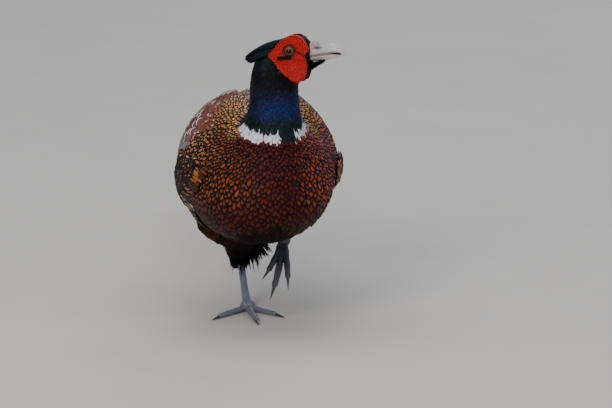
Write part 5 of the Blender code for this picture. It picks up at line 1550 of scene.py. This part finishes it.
def shank_rule(side_name):
    heel, foot = [np.array(value) + MOVED for value in LEGS[side_name]]
    axis = unit(foot - heel)
    front = np.array((0.0, -1.0, 0.0)) + axis * axis[1]
    front = unit(-front if side_name == "left" and front[2] > 0 else front)
    out = np.cross(axis, front)

    def rule(s, t):
        share = -0.12 + 1.09 * t
        turn = s * FULL_TURN
        c, sn = np.cos(turn), np.sin(turn)
        centre = heel + (foot - heel) * share[:, None]
        half = 0.0046 - 0.0011 * np.sin(math.pi * np.clip(share * 1.1, 0, 1))
        half = half + 0.0014 * step(0.80, 0.98, share)
        facing = step(0.25, 0.45, c)
        row = np.where(sn > 0, share, share + 0.5 / FRONT_PLATES)
        rise = plates(row, FRONT_PLATES, 0.00055) * facing * (1 - 0.8 * np.exp(-(sn / 0.10) ** 2))
        back = plates(share, BACK_SCALES, 0.00022) * step(-0.5, -0.7, c)
        closed = open_part(t)
        deep = (half * 1.15 + rise + back) * closed
        wide = (half + 0.6 * rise) * closed
        place = centre + front * (deep * c)[:, None] + out * (wide * sn)[:, None]
        if side_name == "right":
            place[:, 2] = np.maximum(place[:, 2], 0.0)
        return place
    return rule


def toe_rule(side_name, toe, claw):
    turn_out, length, claw_length, half = TOES[toe]
    half = half * (SLACK_SHARE if side_name == "left" else 1.0)
    foot = np.array(LEGS[side_name][1]) + MOVED
    if side_name == "right":
        ahead = np.array((math.sin(math.radians(turn_out)), -math.cos(math.radians(turn_out)), 0.0))
        top = np.array((0.0, 0.0, 1.0))
        start, bow = foot + ahead * 0.004, 0.0
    else:
        end, bow = np.array(LIFTED[toe][0]) + MOVED, LIFTED[toe][1]
        ahead = unit(end - foot)
        facing = np.array((0.0, -1.0, 0.0)) if toe != "hind" else np.array((0.0, 1.0, 0.4))
        top = unit(facing - ahead * facing.dot(ahead))
        start = foot + ahead * 0.002
    side = np.cross(ahead, top)
    whole = length + claw_length

    def rule(s, t):
        turn = s * FULL_TURN
        c, sn = np.cos(turn), np.sin(turn)
        if claw:
            along = length - CLAW_START + (claw_length + CLAW_START) * t
            size = np.clip(1 - t, 0.02, 1) ** 0.75
            wide = half * 0.50 * size
            tall = half * 0.66 * size
            droop = 0.0012 * t ** 2
        else:
            along = -0.003 + (length + 0.003) * t
            pads = np.cos(FULL_TURN * t * 3) * 0.07
            rounded = np.sqrt(np.clip(1 - np.maximum(0, (t - 0.93) / 0.075) ** 2, 0, 1))
            taper = (1 - TOE_TAPER * t) * (1 + pads) * rounded
            count = max(6, round(length / 0.0030))
            rise = plates(t, count, 0.00045) * step(-0.1, 0.35, sn)
            wide = half * taper + 0.5 * rise
            tall = half * 0.92 * taper + rise
            droop = 0.0
        closed = open_part(t)
        line = start + ahead * along[:, None]
        sink = half * 0.92 * (1 - TOE_TAPER * np.clip(along / length, 0, 1))
        if side_name == "right":
            base = sink * (1.0 if not claw else 0.62) - droop
            place = line + top * np.maximum(base, 0.0006)[:, None]
        else:
            place = line + top * (bow * np.sin(math.pi * np.clip(along / whole, 0, 1)) - droop * 1.5)[:, None]
        place = place + side * (wide * closed * c)[:, None] + top * (tall * closed * sn)[:, None]
        if side_name == "right":
            place[:, 2] = np.maximum(place[:, 2], 0.0)
        return place
    return rule


# %% Join each leg and set its claws
# The foot's pad under the root of the toes: half sizes, and how high its middle lies
PADS = {"right": ((0.0082, 0.0082, 0.0090), 0.0030), "left": ((0.0068, 0.0068, 0.0068), 0.0005)}
legs, claws = [], []
for side_name in ("right", "left"):
    bpy.ops.object.select_all(action="DESELECT")
    bpy.ops.mesh.primitive_uv_sphere_add(segments=32, ring_count=20, radius=1.0)
    pad = bpy.context.object
    size, height = PADS[side_name]
    middle = np.array(LEGS[side_name][1]) + MOVED + np.array((0.0, 0.0, height))
    ball = points_of(pad) * np.array(size) + middle
    if side_name == "right":
        ball[:, 2] = np.maximum(ball[:, 2], 0.0)
    move_points(pad, ball)
    bpy.ops.object.shade_smooth()
    parts = [moulded("leg_" + side_name, 64, 190, shank_rule(side_name)), pad]
    for toe in TOES:
        parts.append(moulded("toe_form", 36, 90, toe_rule(side_name, toe, False)))
        claw = moulded("claw_form_" + side_name + "_" + toe, 20, 18, toe_rule(side_name, toe, True))
        claw.data.materials.append(CLAW)
        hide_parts("claw_" + side_name + "_" + toe)
        claws.append(claw)
    select_only(*parts)
    bpy.ops.object.join()
    leg = parts[0]
    leg.data.materials.append(LEG_FINISHES[side_name])
    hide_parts("shank_" + side_name, *("toe_" + side_name + "_" + toe for toe in TOES))
    legs.append(leg)
    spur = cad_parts["spur_" + side_name]
    spur.data.materials.clear()
    spur.data.materials.append(CLAW)
print("leg triangles:", [len(leg.data.polygons) * 2 for leg in legs], "claws:", len(claws))

# %% [markdown]
# ## Tint the skin and bind the pieces
# Where two vanes part, the skin shows between them, so it takes the colours of the feathers that
# grow there, darkened as if in their shade. The last cell sets every piece to ride on one empty,
# body:root, and hides the solids that the skin was melted from.

# %% Tint the skin under the feathers
# Skin in the coat's shade: matt, and dark enough that gaps between vanes read as depth
SKIN, tree, shader = finish("dark skin under feathers", Roughness=0.7)
tint = node(tree, "Attribute", {"attribute_name": "ground"})
feed(tree, shader, Base_Color=tint.outputs["Color"])
skin.data.materials.append(SKIN)
whole = points_of(skin)
tone = body_zones(whole)[0] * 0.55
on_neck = is_neck(whole)
tone[on_neck] = neck_zones(whole[on_neck])[0] * 0.6
tone[is_head(whole)] = colour("#04090a")
tone[leg_area(whole)] = colour("#120d0b")
store_colour(skin.data, "ground", tone)
print("skin points tinted:", len(tone), "of them on the neck:", on_neck.sum())

# %% Bind every piece to the body
SLOTS = {
    "body_plumage": [skin, *coats], "neck_plumage": [coat_neck],
    "head_plumage": [coat_head, coat_chin, *tufts, *strips], "leg_plumage": [coat_thighs, coat_fringe],
    "tail_plumage": [tail, rump], "wing_plumage": wing_pieces, "red_skin": faces + lids, "eye": eyes,
    "bill_horn": [upper_bill, lower_bill, mouth], "leg_skin": legs, "claw_horn": claws,
}
for label, pieces in SLOTS.items():
    for piece in pieces:
        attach(piece, "root")
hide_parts(*SKIN_NODES)
